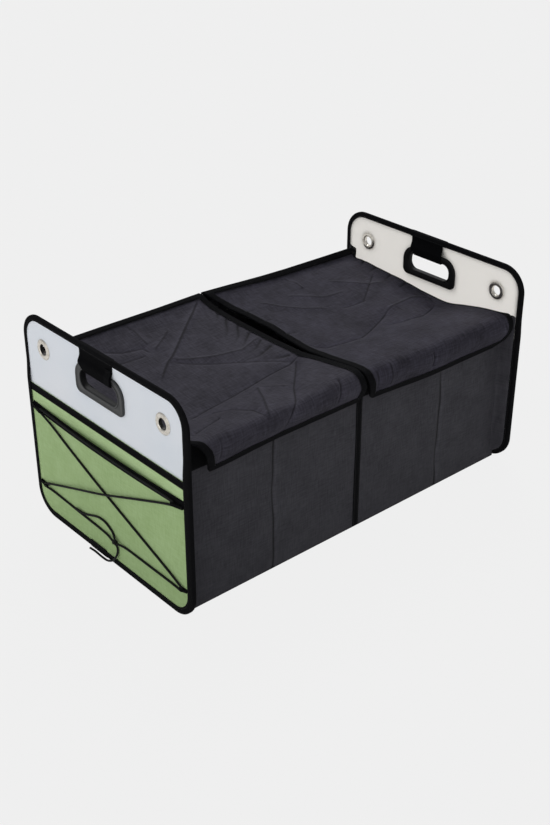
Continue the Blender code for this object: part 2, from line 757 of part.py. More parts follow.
def make_body():
    split = GAP
    halves = (("left", -BODY_X, DIVIDER_X - split, LEFT_CREASE_X),
              ("right", DIVIDER_X + split, BODY_X, RIGHT_CREASE_X))
    for half_name, x_from, x_to, crease_x in halves:
        make_wall("front_wall_" + half_name, True, x_from, x_to, crease_x, FRONT_WALL_TOP)
        make_wall("back_wall_" + half_name, False, x_from, x_to, crease_x, BACK_WALL_TOP)
        make_rim("front_band_" + half_name, True, x_from, x_to, crease_x, FRONT_WALL_TOP,
                 FRONT_BAND_WIDTH, RIM_TAPE_WIDTH)
        make_rim("back_rim_tape_" + half_name, False, x_from, x_to, crease_x, BACK_WALL_TOP,
                 RIM_TAPE_WIDTH, RIM_TAPE_WIDTH)

    seam_half = SEAM_TAPE_WIDTH / 2
    for name, sign, top in (("front_seam_tape", -1, FRONT_WALL_TOP),
                            ("back_seam_tape", 1, BACK_WALL_TOP)):
        outer_width = FRONT_BAND_WIDTH if sign < 0 else RIM_TAPE_WIDTH
        near, far = sorted((sign * (WALL_Y + GAP), sign * (WALL_Y + GAP + TAPE_THICK)))
        seam_top = top - outer_width - GAP
        seam = block(name, (DIVIDER_X - seam_half, near, WALL_LOW),
                     (DIVIDER_X + seam_half, far, seam_top))
        finish(seam, *BLACK_TAPE)

    inside_y = WALL_Y - WALL_THICK - GAP
    half = DIVIDER_THICK / 2
    outline = [(-inside_y, WALL_LOW), (inside_y, WALL_LOW),
               (inside_y, DIVIDER_TOP), (-inside_y, DIVIDER_TOP)]
    finish(cross_plate("divider", [outline], DIVIDER_X - half, DIVIDER_X + half), *DARK_FABRIC)
    skin = half + GAP
    section = [(-skin, -RIM_TAPE_WIDTH), (-skin, GAP), (skin, GAP), (skin, -RIM_TAPE_WIDTH),
               (skin + TAPE_THICK, -RIM_TAPE_WIDTH), (skin + TAPE_THICK, GAP),
               (skin, TAPE_EDGE), (-skin, TAPE_EDGE),
               (-skin - TAPE_THICK, GAP), (-skin - TAPE_THICK, -RIM_TAPE_WIDTH)]
    stations = [[(DIVIDER_X + across, y, DIVIDER_TOP + up) for across, up in section]
                for y in (-inside_y, inside_y)]
    finish(loft("divider_tape", stations), *BLACK_TAPE)

    floor = block("floor_fabric", (-BODY_X, -WALL_Y, 0.0), (BODY_X, WALL_Y, FLOOR_THICK))
    finish(floor, *DARK_FABRIC)

    board_y = inside_y - BASE_BOARD_CLEARANCE
    low = FLOOR_THICK + GAP
    clear = DIVIDER_THICK / 2 + BASE_BOARD_CLEARANCE
    end_x = BODY_X - BASE_BOARD_CLEARANCE
    left = block("base_board_left", (-end_x, -board_y, low),
                 (DIVIDER_X - clear, board_y, low + BASE_BOARD_THICK))
    right = block("base_board_right", (DIVIDER_X + clear, -board_y, low),
                  (end_x, board_y, low + BASE_BOARD_THICK))
    finish(left, *DARK_FABRIC)
    finish(right, *DARK_FABRIC)


# Lids. A lid is lofted through the line beside its end board, the line down its
# middle and the line beside the divider. Each line is a list of (place, drop): place goes from 1 at the back
# wall to -1 at the front wall, and drop is how far the cloth hangs below the
# straight line from rim to rim. The lip follows as (outset, fall) from the front rim.

BACK_STEP = [(1.000, 0.0), (0.955, -0.0002), (0.930, 0.0080), (0.900, 0.0145)]
LEFT_OUTER = [(0.723, 0.0192), (0.329, 0.0218), (-0.132, 0.0237), (-0.462, 0.0251),
              (-0.613, 0.0244), (-0.792, 0.0111), (-0.960, -0.0006)]
LEFT_INNER = [(0.723, 0.0157), (0.460, 0.0159), (0.066, 0.0132), (-0.218, 0.0115),
              (-0.396, 0.0070), (-0.646, -0.0002), (-0.923, -0.0085)]
LEFT_MIDDLE = [(0.723, 0.0167), (0.329, 0.0203), (-0.132, 0.0202), (-0.409, 0.0174),
               (-0.627, 0.0087), (-0.858, -0.0011), (-0.980, -0.0058)]
RIGHT_OUTER = [(0.775, 0.0195), (0.558, 0.0211), (0.296, 0.0220), (0.000, 0.0230),
               (-0.330, 0.0230), (-0.594, 0.0126), (-0.765, 0.0048), (-0.960, -0.0026)]
RIGHT_INNER = [(0.723, 0.0162), (0.460, 0.0166), (0.131, 0.0138), (-0.198, 0.0105),
               (-0.462, 0.0054), (-0.726, -0.0028), (-0.937, -0.0089)]
RIGHT_MIDDLE = [(0.723, 0.0187), (0.329, 0.0208), (0.000, 0.0205), (-0.264, 0.0169),
                (-0.561, 0.0059), (-0.792, -0.0004), (-0.960, -0.0050)]
OUTER_LIP = [(0.0109, -0.0037), (0.0169, 0.0045), (0.0184, 0.0155), (0.0085, 0.0400)]
MIDDLE_LIP = [(0.0119, -0.0060), (0.0179, 0.0010), (0.0194, 0.0145), (0.0094, 0.0400)]
INNER_LIP = [(0.0084, -0.0095), (0.0154, -0.0005), (0.0169, 0.0125), (0.0085, 0.0415)]

# Rows of a lid by their distance from its back edge and from the end of its lip
BACK_ROWS = [0.0, 0.0050, 0.0080, 0.0105, 0.0140, 0.0190, 0.0260, 0.0420]
LIP_ROWS = [0.0740, 0.0600, 0.0500, 0.0400, 0.0300, 0.0200, 0.0100, 0.0040, 0.0]
MIDDLE_ROWS = 6

# How far a lip's corners are cut in, by distance from the end of the lip
LEFT_END_CUT = [(0.0, 0.039), (0.004, 0.0365), (0.011, 0.033), (0.031, 0.023), (0.045, 0.010),
                (0.053, 0.0)]
LEFT_MIDDLE_CUT = [(0.0, 0.006), (0.004, 0.0015), (0.010, 0.0)]
RIGHT_END_CUT = [(0.0, 0.030), (0.004, 0.017), (0.010, 0.009), (0.020, 0.003), (0.034, 0.0)]
RIGHT_MIDDLE_CUT = [(0.0, 0.006), (0.004, 0.0015), (0.010, 0.0)]


def look_up(table, value):
    """Straight-line reading of a table that ends in its last value."""
    for (a, low), (b, high) in zip(table, table[1:]):
        if value < b:
            return low + (high - low) * (value - a) / (b - a)
    return table[-1][1]


def lid_line(body_points, lip_points):
    """Fine line in Y and Z down one side of a lid, from the back rim to the lip's end."""
    back_z = BACK_RIM_TOP + LID_REST_GAP + LID_SKIN
    back_y = WALL_Y + TAPE_EDGE - LID_BACK_SETBACK
    points = []
    for place, drop in BACK_STEP + body_points:
        y = back_y * place if place > 0 else WALL_Y * place
        share = (1 - place) / 2
        points.append(Vector((0.0, y, back_z + (FRONT_RIM_TOP - back_z) * share - drop)))
    for outset, fall in lip_points:
        points.append(Vector((0.0, -(WALL_Y + outset), FRONT_RIM_TOP - fall)))
    return smooth_curve(points)


def walk(line, distance_from_start, distance_from_end=None):
    """Point at a distance along a line, from either end."""
    if distance_from_end is not None:
        return walk(line[::-1], distance_from_end)
    left = distance_from_start
    for a, b in zip(line, line[1:]):
        span = (b - a).length
        if left <= span:
            return a.lerp(b, left / span)
        left -= span
    return line[-1]


def lid_rows(line):
    """The points of a lid's rows on one of its side lines."""
    length = sum((b - a).length for a, b in zip(line, line[1:]))
    start, stop = BACK_ROWS[-1], length - LIP_ROWS[0]
    middle = [start + (stop - start) * i / MIDDLE_ROWS for i in range(1, MIDDLE_ROWS)]
    rows = [walk(line, distance) for distance in BACK_ROWS + middle]
    return rows + [walk(line, 0.0, distance) for distance in LIP_ROWS]


def make_lid(name, end_x, middle_x, lines, end_cut, middle_cut):
    """Soft cloth lid, sagging in its middle, with its lip; and the tape round it."""
    lips = (OUTER_LIP, MIDDLE_LIP, INNER_LIP)
    rows = [lid_rows(lid_line(line, lip)) for line, lip in zip(lines, lips)]
    sign = 1 if middle_x > end_x else -1
    edge_share = LID_TAPE_WIDTH / abs(middle_x - end_x)
    shares = [edge_share + (1 - 2 * edge_share) * i / LID_COLUMNS for i in range(LID_COLUMNS + 1)]
    shares = [0.0, *shares, 1.0]
    grid = []
    for index, (near_end, halfway, near_middle) in enumerate(zip(*rows)):
        from_end = index - len(rows[0]) + len(LIP_ROWS)
        rest = LIP_ROWS[from_end] if from_end >= 0 else 1.0
        start = end_x + sign * look_up(end_cut, rest)
        stop = middle_x - sign * look_up(middle_cut, rest)
        row = []
        for share in shares:
            side_spot = near_end if share < 0.5 else near_middle
            spot = side_spot.lerp(halfway, ease(1 - abs(2 * share - 1)))
            spot.x = start + (stop - start) * share
            row.append(spot)
        grid.append(row)
    directions = sheet_directions(grid)
    finish(shell(name, grid, directions, LID_THICK), *DARK_FABRIC)

    last_row, last_column = len(grid) - 1, len(shares) - 1
    back_cells = sum(1 for distance in BACK_ROWS[:-1] if distance < LID_TAPE_WIDTH)
    lip_cells = sum(1 for distance in LIP_ROWS if distance <= LID_TAPE_WIDTH) - 1

    def is_taped(i, j):
        return i < back_cells or i >= last_row - lip_cells or j in (0, last_column - 1)

    finish(border_tape(name + "_tape", grid, directions, is_taped), *BLACK_TAPE)


def make_lids():
    half_gap = LID_MIDDLE_GAP / 2
    left = (-LID_END_X, DIVIDER_X - half_gap, (LEFT_OUTER, LEFT_MIDDLE, LEFT_INNER),
            LEFT_END_CUT, LEFT_MIDDLE_CUT)
    right = (LID_END_X, DIVIDER_X + half_gap, (RIGHT_OUTER, RIGHT_MIDDLE, RIGHT_INNER),
             RIGHT_END_CUT, RIGHT_MIDDLE_CUT)
    for name, lid in (("left_lid", left), ("right_lid", right)):
        hinge = bpy.data.objects.new(name + "_hinge", None)
        hinge.location = (0.0, HINGE_Y, HINGE_Z)
        BOX.objects.link(hinge)
        make_lid(name, *lid)
        for part in (bpy.data.objects[name], bpy.data.objects[name + "_tape"]):
            part.parent = hinge
            part.matrix_parent_inverse.translation = -hinge.location


# Elastic cord laced across the near pocket. A route point is (y, z, lift), and
# lift is how far the cord is held off the pocket's cloth there. Places are those on
# a pocket of the laced width and height, and follow the pocket when it is resized.

NEAR = -1
KNOT = (-0.0095, 0.0367)
FRONT_LOW_TAB = (-0.1560, 0.0455)
BACK_LOW_TAB = (0.1490, 0.0505)
BACK_HIGH_TAB = (0.1550, 0.1710)
FRONT_HIGH_TAB = (-0.1480, 0.1680)


def on_pocket(y, z, lift):
    """Point of the cord's centre line over the near pocket."""
    y *= PANEL_WIDTH / LACED_WIDTH
    z *= POCKET_TOP / LACED_HEIGHT
    depth = pocket_depth(y, z) + FACING_THICK / 2 + GAP + CORD_RADIUS + lift
    return Vector((at_depth(NEAR, depth), y, z))


def turn(centre, start, stop, lift, steps=4):
    """Route points round a tab's fold, between two angles in degrees."""
    points = []
    for i in range(steps + 1):
        angle = math.radians(start + (stop - start) * i / steps)
        points.append((centre[0] + CORD_TURN_RADIUS * math.cos(angle),
                       centre[1] + CORD_TURN_RADIUS * CORD_TURN_STRETCH * math.sin(angle), lift))
    return points


def cord_route():
    """Centre line of the laced cord, from the knot all the way round to the knot."""
    in_tab = TAB_THICK + GAP
    over_tape = ON_TAPE + in_tab
    over_cord = 2 * CORD_RADIUS + 2 * GAP
    away = KNOT_RADIUS + GAP + CORD_RADIUS * 0.2
    route = [(KNOT[0] - away, KNOT[1] + 0.0002, KNOT_RADIUS - CORD_RADIUS),
             (KNOT[0] - 0.022, KNOT[1] + 0.0006, 0.0),
             (-0.085, 0.0395, 0.0), (-0.138, 0.0405, 0.0)]
    route += turn(FRONT_LOW_TAB, 262, 112, in_tab)
    route += [(-0.135, 0.0550, 0.0), (-0.110, 0.0651, 0.0), (-0.055, 0.0876, 0.0),
              (-0.015, 0.1040, 0.0), (0.004, 0.1117, 0.0), (0.025, 0.1203, 0.0),
              (0.080, 0.1428, 0.0), (0.128, 0.1600, ON_TAPE / 2)]
    route += turn(BACK_HIGH_TAB, -66, 88, over_tape)
    route += [(0.120, 0.1735, ON_TAPE), (0.060, 0.1730, ON_TAPE), (0.000, 0.1730, ON_TAPE),
              (-0.060, 0.1730, ON_TAPE), (-0.120, 0.1728, ON_TAPE)]
    route += turn(FRONT_HIGH_TAB, 95, 244, over_tape)
    route += [(-0.122, 0.1578, ON_TAPE / 2), (-0.070, 0.1378, 0.0), (-0.030, 0.1218, 0.0),
              (-0.012, 0.1147, over_cord * 0.7), (0.002, 0.1091, over_cord),
              (0.016, 0.1035, over_cord * 0.7), (0.034, 0.0963, 0.0),
              (0.080, 0.0780, 0.0), (0.125, 0.0605, 0.0)]
    route += turn(BACK_LOW_TAB, 68, -84, in_tab)
    route += [(0.130, 0.0448, 0.0), (0.060, 0.0412, 0.0), (0.012, 0.0377, 0.0),
              (KNOT[0] + away, KNOT[1] + 0.0003, KNOT_RADIUS - CORD_RADIUS)]
    return [on_pocket(*point) for point in route]


def make_tab(name, centre, lift, reach):
    """Short strap caught in the edge tape and folded round the cord."""
    y, z = centre[0] * PANEL_WIDTH / LACED_WIDTH, centre[1] * POCKET_TOP / LACED_HEIGHT
    sign = 1 if y > 0 else -1
    tape_inner = sign * (PANEL_WIDTH / 2 - TAPE_WIDTH - GAP)
    cord_y = y + sign * CORD_TURN_RADIUS
    fold_y = cord_y - sign * (CORD_RADIUS + reach)
    half = TAB_THICK / 2
    under = FACING_THICK / 2 + GAP + lift + half
    bow = CORD_RADIUS + GAP + half
    middle = under + bow
    over = middle + bow
    near_tape = tape_inner - sign * 0.004
    path = [(tape_inner, under), (near_tape, under), (cord_y, under),
            (fold_y + sign * bow * 0.5, under), (fold_y - sign * bow * 0.3, under + bow * 0.45),
            (fold_y - sign * bow * 0.5, middle), (fold_y - sign * bow * 0.3, over - bow * 0.45),
            (fold_y + sign * bow * 0.5, over), (cord_y, over),
            (near_tape, under + TAB_THICK + 2 * GAP + bow * 0.3),
            (tape_inner, under + TAB_THICK + GAP)]
    rows = []
    for place, rise in path:
        row = []
        for edge in (-0.5, 0.5):
            height = z + edge * TAB_WIDTH
            depth = pocket_depth(place, height) + rise
            row.append((at_depth(NEAR, depth), place, height))
        rows.append(row)
    finish(cloth(name, rows, TAB_THICK), *BLACK_TAPE)


def make_knot():
    """The cord's two ends tied together: a small lump of overlapping turns."""
    y, z = KNOT
    centre = on_pocket(y, z, KNOT_RADIUS - CORD_RADIUS)
    bm = bmesh.new()
    bmesh.ops.create_icosphere(bm, subdivisions=2, radius=KNOT_RADIUS)
    for vert in bm.verts:
        twist = math.atan2(vert.co.z, vert.co.y)
        wave = 0.5 + 0.5 * math.cos(KNOT_RIBS * twist + KNOT_TWIST * vert.co.x)
        vert.co = centre + vert.co * (1 - KNOT_RIB_DEPTH * wave)
    finish(mesh_object("bungee_knot", bm), *ELASTIC)


def make_tails():
    """The loose ends below the knot: one lies on the pocket, one reaches the ground."""
    out = KNOT_RADIUS + GAP
    upper = [(KNOT[0] + 0.0020, KNOT[1] + out, 0.0012), (-0.0030, 0.0480, 0.0),
             (0.0060, 0.0535, 0.0), (0.0200, 0.0545, 0.0), (0.0370, 0.0525, 0.0),
             (0.0545, 0.0490, 0.0), (0.0680, 0.0470, 0.0), (0.0800, 0.0465, 0.0)]
    points = smooth_path([on_pocket(*point) for point in upper], CORD_STEP, CORD_BEND)
    finish(tube("bungee_tail_upper", points, CORD_RADIUS), *ELASTIC)

    on_edge = LACED_LIFT - POCKET_OUT + TAPE_EDGE + GAP
    first = [(KNOT[0] - 0.0010, KNOT[1] - out, 0.0012), (-0.0117, 0.0270, 0.0006),
             (-0.0121, 0.0215, 0.0008), (-0.0110, 0.0160, on_edge), (-0.0079, 0.0100, on_edge)]
    points = [on_pocket(*point) for point in first]
    out_x = at_depth(NEAR, LACED_LIFT + TAPE_EDGE + GAP + CORD_RADIUS)
    ground = CORD_RADIUS + GAP / 3
    floor_run = [(0.0012, -0.0020, 0.0030), (0.0018, 0.0060, 0.0), (0.0022, 0.0190, 0.0),
                 (0.0018, 0.0320, 0.0), (0.0026, 0.0435, 0.0)]
    points += [Vector((out_x - away, y, ground + z)) for away, y, z in floor_run]
    points = smooth_path(points, CORD_STEP, CORD_BEND)
    finish(tube("bungee_tail_lower", points, CORD_RADIUS), *ELASTIC)


def make_bungee():
    points = smooth_path(cord_route(), CORD_STEP, CORD_BEND)
    finish(tube("bungee_cord", points, CORD_RADIUS), *ELASTIC)
    fold_reach = GAP + CORD_TURN_RADIUS * 0.42
    make_tab("cord_tab_front_low", FRONT_LOW_TAB, 0.0, fold_reach)
    make_tab("cord_tab_back_low", BACK_LOW_TAB, 0.0, fold_reach)
    make_tab("cord_tab_front_high", FRONT_HIGH_TAB, ON_TAPE, fold_reach)
    make_tab("cord_tab_back_high", BACK_HIGH_TAB, ON_TAPE, fold_reach)
    make_knot()
    make_tails()


make_end(NEAR, "near")
make_end(1, "far")
make_body()
make_lids()
make_bungee()
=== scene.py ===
"""Looks of the folding storage box for a car boot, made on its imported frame.

X runs along the box from the near end board at -X, Y from the front wall at -Y
to the back wall, which carries the lids, and the box stands on z = 0.
"""

import math

import bmesh
import bpy
import numpy as np
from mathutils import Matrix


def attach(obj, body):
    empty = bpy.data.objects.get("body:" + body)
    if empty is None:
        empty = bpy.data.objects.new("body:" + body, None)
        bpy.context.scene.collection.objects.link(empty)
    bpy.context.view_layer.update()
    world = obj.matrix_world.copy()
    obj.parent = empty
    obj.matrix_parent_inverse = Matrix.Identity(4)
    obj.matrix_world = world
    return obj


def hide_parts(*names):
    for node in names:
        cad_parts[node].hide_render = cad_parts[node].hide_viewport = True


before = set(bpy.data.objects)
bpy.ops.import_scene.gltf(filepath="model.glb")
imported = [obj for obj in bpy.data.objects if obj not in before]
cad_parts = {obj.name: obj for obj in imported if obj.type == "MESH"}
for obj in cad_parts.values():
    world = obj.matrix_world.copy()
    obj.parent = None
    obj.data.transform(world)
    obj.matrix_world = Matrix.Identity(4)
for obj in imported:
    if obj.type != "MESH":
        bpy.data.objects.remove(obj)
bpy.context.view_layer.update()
scene = bpy.context.scene

# Camera
# The lens and place were worked out from the corners of both end boards.

camera_data = bpy.data.cameras.new("camera")
camera_data.lens = 53.85
camera_data.sensor_fit = "VERTICAL"
camera_data.sensor_height = 36
camera_data.clip_end = 200
camera = bpy.data.objects.new("camera", camera_data)
camera.location = (-1.0188, -1.1558, 0.9696)
camera.rotation_euler = (math.radians(61.06), 0.0, math.radians(-41.03))
scene.collection.objects.link(camera)
scene.camera = camera


# Elastic cord
# One braided elastic, 3 mm thick, runs through four tabs across the near pocket
# and its two ends are knotted; one end lies on the pocket, one reaches the ground.

NEAR, FAR = -1, 1
ENDS = ((NEAR, "near"), (FAR, "far"))
BOX_END = 0.2985
CORD_RADIUS = 0.0015
CLOTH = 0.0005
GAP = 0.0003
TAPE = 0.0007
POCKET_BASE = 0.0011
POCKET_HALF = 0.1675
POCKET_FOOT = 0.0105
POCKET_MOUTH = 0.1750
POCKET_BULGE = 0.0050
ON_TAPE = GAP + TAPE


def colour(code):
    """Linear colour of an sRGB hex code."""
    levels = [int(code[i:i + 2], 16) / 255 for i in (1, 3, 5)]
    return (*[c / 12.92 if c <= 0.04045 else ((c + 0.055) / 1.055) ** 2.4 for c in levels], 1.0)


def add(tree, kind, links=None, **settings):
    """Node with its settings; links are sockets or constant values by input name."""
    made = tree.nodes.new(kind)
    for key, value in settings.items():
        setattr(made, key, value)
    for key, value in (links or {}).items():
        if isinstance(value, bpy.types.NodeSocket):
            tree.links.new(value, made.inputs[key])
        else:
            made.inputs[key].default_value = value
    return made


def shader(name, roughness, metallic=0.0, specular=0.5):
    """New material, its node tree and its principled shader."""
    made = bpy.data.materials.new(name)
    made.use_nodes = True
    surface = made.node_tree.nodes["Principled BSDF"]
    surface.inputs["Roughness"].default_value = roughness
    surface.inputs["Metallic"].default_value = metallic
    surface.inputs["Specular IOR Level"].default_value = specular
    return made, made.node_tree, surface


def paint(tree, tone, normal=None, roughness=None):
    """Give the tree's principled shader its colour, and its normal and roughness."""
    surface = tree.nodes["Principled BSDF"]
    for label, socket in (("Base Color", tone), ("Normal", normal), ("Roughness", roughness)):
        if socket is not None:
            tree.links.new(socket, surface.inputs[label])


def maths(tree, operation, first, second=0.0):
    """Output of one sum on two sockets or numbers."""
    return add(tree, "ShaderNodeMath", {0: first, 1: second}, operation=operation).outputs[0]


def shares(tree, *parts):
    """Sum of sockets, each multiplied by its share."""
    total = 0.0
    for socket, share in parts:
        total = add(tree, "ShaderNodeMath", {0: socket, 1: share, 2: total},
                    operation="MULTIPLY_ADD").outputs[0]
    return total


def ribs(tree, along, pitch):
    """Wave from 0 to 1 that repeats every pitch metres."""
    turns = maths(tree, "MULTIPLY", along, 2 * math.pi / pitch)
    return maths(tree, "MULTIPLY_ADD", maths(tree, "SINE", turns), 0.5)


def blotches(tree, vector, size, detail=3.0):
    """Soft noise from 0 to 1 with features of about the given size in metres."""
    return add(tree, "ShaderNodeTexNoise", {"Vector": vector, "Scale": 1 / size,
                                            "Detail": detail}).outputs["Fac"]


def tint(tree, factor, dark, light, low=0.3, high=0.7):
    """Colour between two hex codes by a factor from low to high."""
    ramp = add(tree, "ShaderNodeValToRGB", {"Fac": factor})
    ramp.color_ramp.elements[0].position = low
    ramp.color_ramp.elements[0].color = colour(dark)
    ramp.color_ramp.elements[1].position = high
    ramp.color_ramp.elements[1].color = colour(light)
    return ramp.outputs["Color"]


def bump(tree, height, distance, strength, normal=None):
    """Normal raised by a height of 0 to 1, over another normal if there is one."""
    links = {"Height": height, "Distance": distance, "Strength": strength}
    if normal is not None:
        links["Normal"] = normal
    return add(tree, "ShaderNodeBump", links).outputs["Normal"]


def solid_coords(tree):
    """Place in the piece in metres."""
    return add(tree, "ShaderNodeTexCoord").outputs["Object"]


def cut_coords(tree):
    """Place on the cut cloth in metres: along, then across."""
    cut = add(tree, "ShaderNodeUVMap", uv_map="cut").outputs["UV"]
    parts = add(tree, "ShaderNodeSeparateXYZ", {"Vector": cut})
    return cut, parts.outputs["X"], parts.outputs["Y"]


def elastic_material():
    """Braided black elastic: strands wind round it both ways, 1.2 mm a repeat."""
    made, tree, _ = shader("braided_elastic", 0.75, specular=0.2)
    _, along, around = cut_coords(tree)
    pitch = 0.0012
    one = ribs(tree, maths(tree, "ADD", along, around), pitch)
    other = ribs(tree, maths(tree, "SUBTRACT", along, around), pitch)
    braid = maths(tree, "MAXIMUM", one, other)
    paint(tree, tint(tree, braid, "#050506", "#121214"), bump(tree, braid, 0.00025, 0.8))
    return made


ELASTIC = elastic_material()


def mesh_piece(name, verts, faces, materials, cuts=None):
    """Object from points and faces; cuts gives each face corner its place on the cloth."""
    data = bpy.data.meshes.new(name)
    data.from_pydata([tuple(v) for v in verts], [], [tuple(f) for f in faces])
    if cuts is not None:
        layer = data.uv_layers.new(name="cut")
        layer.data.foreach_set("uv", np.asarray(cuts, dtype=np.float32).ravel())
    data.shade_smooth()
    data.validate()
    for material in materials:
        data.materials.append(material)
    made = bpy.data.objects.new(name, data)
    scene.collection.objects.link(made)
    return made


def dress(piece, node=None, body="box"):
    """Fix a piece to its body and hide the solid that it stands for."""
    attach(piece, body)
    if node:
        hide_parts(node)


def coat(node, material):
    """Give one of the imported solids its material."""
    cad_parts[node].material_slots[0].material = material


def run_along(points):
    """Distance of each point from the first one, along the line of points."""
    return np.concatenate([[0], np.cumsum(np.linalg.norm(np.diff(points, axis=0), axis=1))])


def smooth_points(points, spacing):
    """Evenly spaced points on a Catmull-Rom curve through given ones."""
    control = np.array(points, float)
    ends = np.vstack([2 * control[0] - control[1], control, 2 * control[-1] - control[-2]])
    t = np.linspace(0, 1, 24, endpoint=False)[:, None]
    fine = [0.5 * (2 * b + (c - a) * t + (2 * a - 5 * b + 4 * c - d) * t ** 2
                   + (3 * b - a - 3 * c + d) * t ** 3)
            for a, b, c, d in zip(ends, ends[1:], ends[2:], ends[3:])]
    fine = np.vstack([*fine, control[-1:]])
    run = run_along(fine)
    places = np.linspace(0, run[-1], max(int(run[-1] / spacing), 2) + 1)
    return np.stack([np.interp(places, run, fine[:, k]) for k in range(3)], axis=1)


def cord_piece(name, points, radius):
    """Round elastic along close-set points with closed ends, cut coordinates in metres."""
    sides = 12
    points = np.asarray(points, float)
    ahead = np.gradient(points, axis=0)
    ahead /= np.linalg.norm(ahead, axis=1)[:, None]
    up = np.cross(ahead[0], (0.3, 0.5, 0.8))
    run = run_along(points)
    rings = []
    for point, way in zip(points, ahead):
        up = up - way * up.dot(way)
        up /= np.linalg.norm(up)
        side = np.cross(way, up)
        turns = np.arange(sides) * 2 * math.pi / sides
        rings.append(point + radius * (np.cos(turns)[:, None] * up + np.sin(turns)[:, None] * side))
    verts = np.vstack([*rings, points[:1] - ahead[:1] * radius * 0.5,
                       points[-1:] + ahead[-1:] * radius * 0.5])
    faces, cuts = [], []
    step = 2 * math.pi * radius / sides
    for i in range(len(points) - 1):
        for j in range(sides):
            k = (j + 1) % sides
            faces.append((i * sides + j, i * sides + k, (i + 1) * sides + k, (i + 1) * sides + j))
            cuts += [(run[i], j * step), (run[i], (j + 1) * step),
                     (run[i + 1], (j + 1) * step), (run[i + 1], j * step)]
    last = (len(points) - 1) * sides
    for j in range(sides):
        k = (j + 1) % sides
        faces.append((len(verts) - 2, k, j))
        faces.append((len(verts) - 1, last + j, last + k))
        cuts += [(0, 0)] * 3 + [(run[-1], 0)] * 3
    return mesh_piece(name, verts, faces, [ELASTIC], cuts)


def ease(value):
    """Smooth step from 0 to 1."""
    value = np.clip(value, 0.0, 1.0)
    return value * value * (3 - 2 * value)


def pocket_depth(y, z):
    """Depth of the pocket's middle surface out from the end board's face."""
    across = np.maximum(1 - (np.asarray(y) / POCKET_HALF) ** 2, 0.0)
    up = ease((np.asarray(z) - POCKET_FOOT) / (POCKET_MOUTH - POCKET_FOOT))
    return POCKET_BASE + CLOTH / 2 + POCKET_BULGE * across * up


def on_pocket(y, z, lift):
    """Point of a cord's centre line over the near pocket."""
    depth = float(pocket_depth(y, z)) + CLOTH / 2 + GAP + CORD_RADIUS + lift
    return (-(BOX_END + depth), y, z)


def turn(centre, start, stop, lift):
    """Route points round a tab's fold, between two angles in degrees."""
    angles = np.radians(np.linspace(start, stop, 5))
    return [(centre[0] + TURN_REACH * math.cos(a), centre[1] + 0.0031 * math.sin(a), lift)
            for a in angles]


KNOT = (-0.0180, 0.0430)
KNOT_RADIUS = 0.0048
FRONT_LOW, BACK_LOW = (-0.1560, 0.0455), (0.1490, 0.0497)
BACK_HIGH, FRONT_HIGH = (0.1410, 0.1713), (-0.1480, 0.1680)
IN_TAB, OVER_TAPE, OVER_CORD = 0.0011, 0.0021, 0.0036
TURN_REACH = 0.0036

# The cord's route over the pocket: y, z, and how far it lies off the cloth.
route = [(-0.0232, 0.0430, 0.0033), (-0.0400, 0.0424, 0.0), (-0.085, 0.0424, 0.0),
         (-0.138, 0.0420, 0.0)]
route += turn(FRONT_LOW, 262, 112, IN_TAB)
route += [(-0.135, 0.0562, 0.0), (-0.110, 0.0664, 0.0), (-0.055, 0.0890, 0.0),
          (-0.015, 0.1055, 0.0), (0.004, 0.1132, 0.0), (0.025, 0.1218, 0.0),
          (0.080, 0.1440, 0.0), (0.118, 0.1595, ON_TAPE / 2)]
route += turn(BACK_HIGH, -66, 88, OVER_TAPE)
route += [(0.120, 0.1738, ON_TAPE), (0.060, 0.1732, ON_TAPE), (0.0, 0.1730, ON_TAPE),
          (-0.060, 0.1726, ON_TAPE), (-0.120, 0.1720, ON_TAPE)]
route += turn(FRONT_HIGH, 95, 244, OVER_TAPE)
route += [(-0.135, 0.1600, 0.0009), (-0.122, 0.1551, 0.0004), (-0.070, 0.1356, 0.0007),
          (-0.030, 0.1205, 0.0022), (-0.002, 0.1100, OVER_CORD), (0.034, 0.0965, 0.0030),
          (0.080, 0.0792, 0.0020), (0.125, 0.0621, 0.0010)]
route += turn(BACK_LOW, 68, -84, IN_TAB)
route += [(0.130, 0.0463, 0.0), (0.0683, 0.0445, 0.0), (0.0100, 0.0426, 0.0),
          (-0.0128, 0.0429, 0.0033)]
laced = smooth_points([on_pocket(*point) for point in route], 0.0015)
dress(cord_piece("elastic_laced", laced, CORD_RADIUS), "bungee_cord")

upper = [(-0.0160, 0.0468, 0.0016), (-0.0112, 0.0505, 0.0), (-0.0060, 0.0557, 0.0),
         (0.0057, 0.0610, 0.0), (0.0185, 0.0612, 0.0), (0.0297, 0.0584, 0.0),
         (0.0525, 0.0498, 0.0), (0.0653, 0.0481, 0.0010), (0.0760, 0.0480, 0.0012)]
lower = [on_pocket(*point) for point in
         [(-0.0180, 0.0380, 0.0014), (-0.0188, 0.0330, 0.0006), (-0.0190, 0.0280, 0.0006),
          (-0.0178, 0.0220, 0.0012), (-0.0150, 0.0160, 0.0026), (-0.0105, 0.0100, 0.0026)]]
lower += [(-0.3039 - away, y, 0.0018 + z) for away, y, z in
          [(0.0014, -0.0030, 0.0030), (0.0018, 0.0060, 0.0), (0.0022, 0.0190, 0.0),
           (0.0018, 0.0320, 0.0), (0.0026, 0.0435, 0.0)]]
for name, points, node in (
        ("elastic_end_upper", [on_pocket(*point) for point in upper], "bungee_tail_upper"),
        ("elastic_end_lower", lower, "bungee_tail_lower")):
    fine = smooth_points(points, 0.0010)
    tail = cord_piece(name, fine, CORD_RADIUS)
    dress(tail, node)


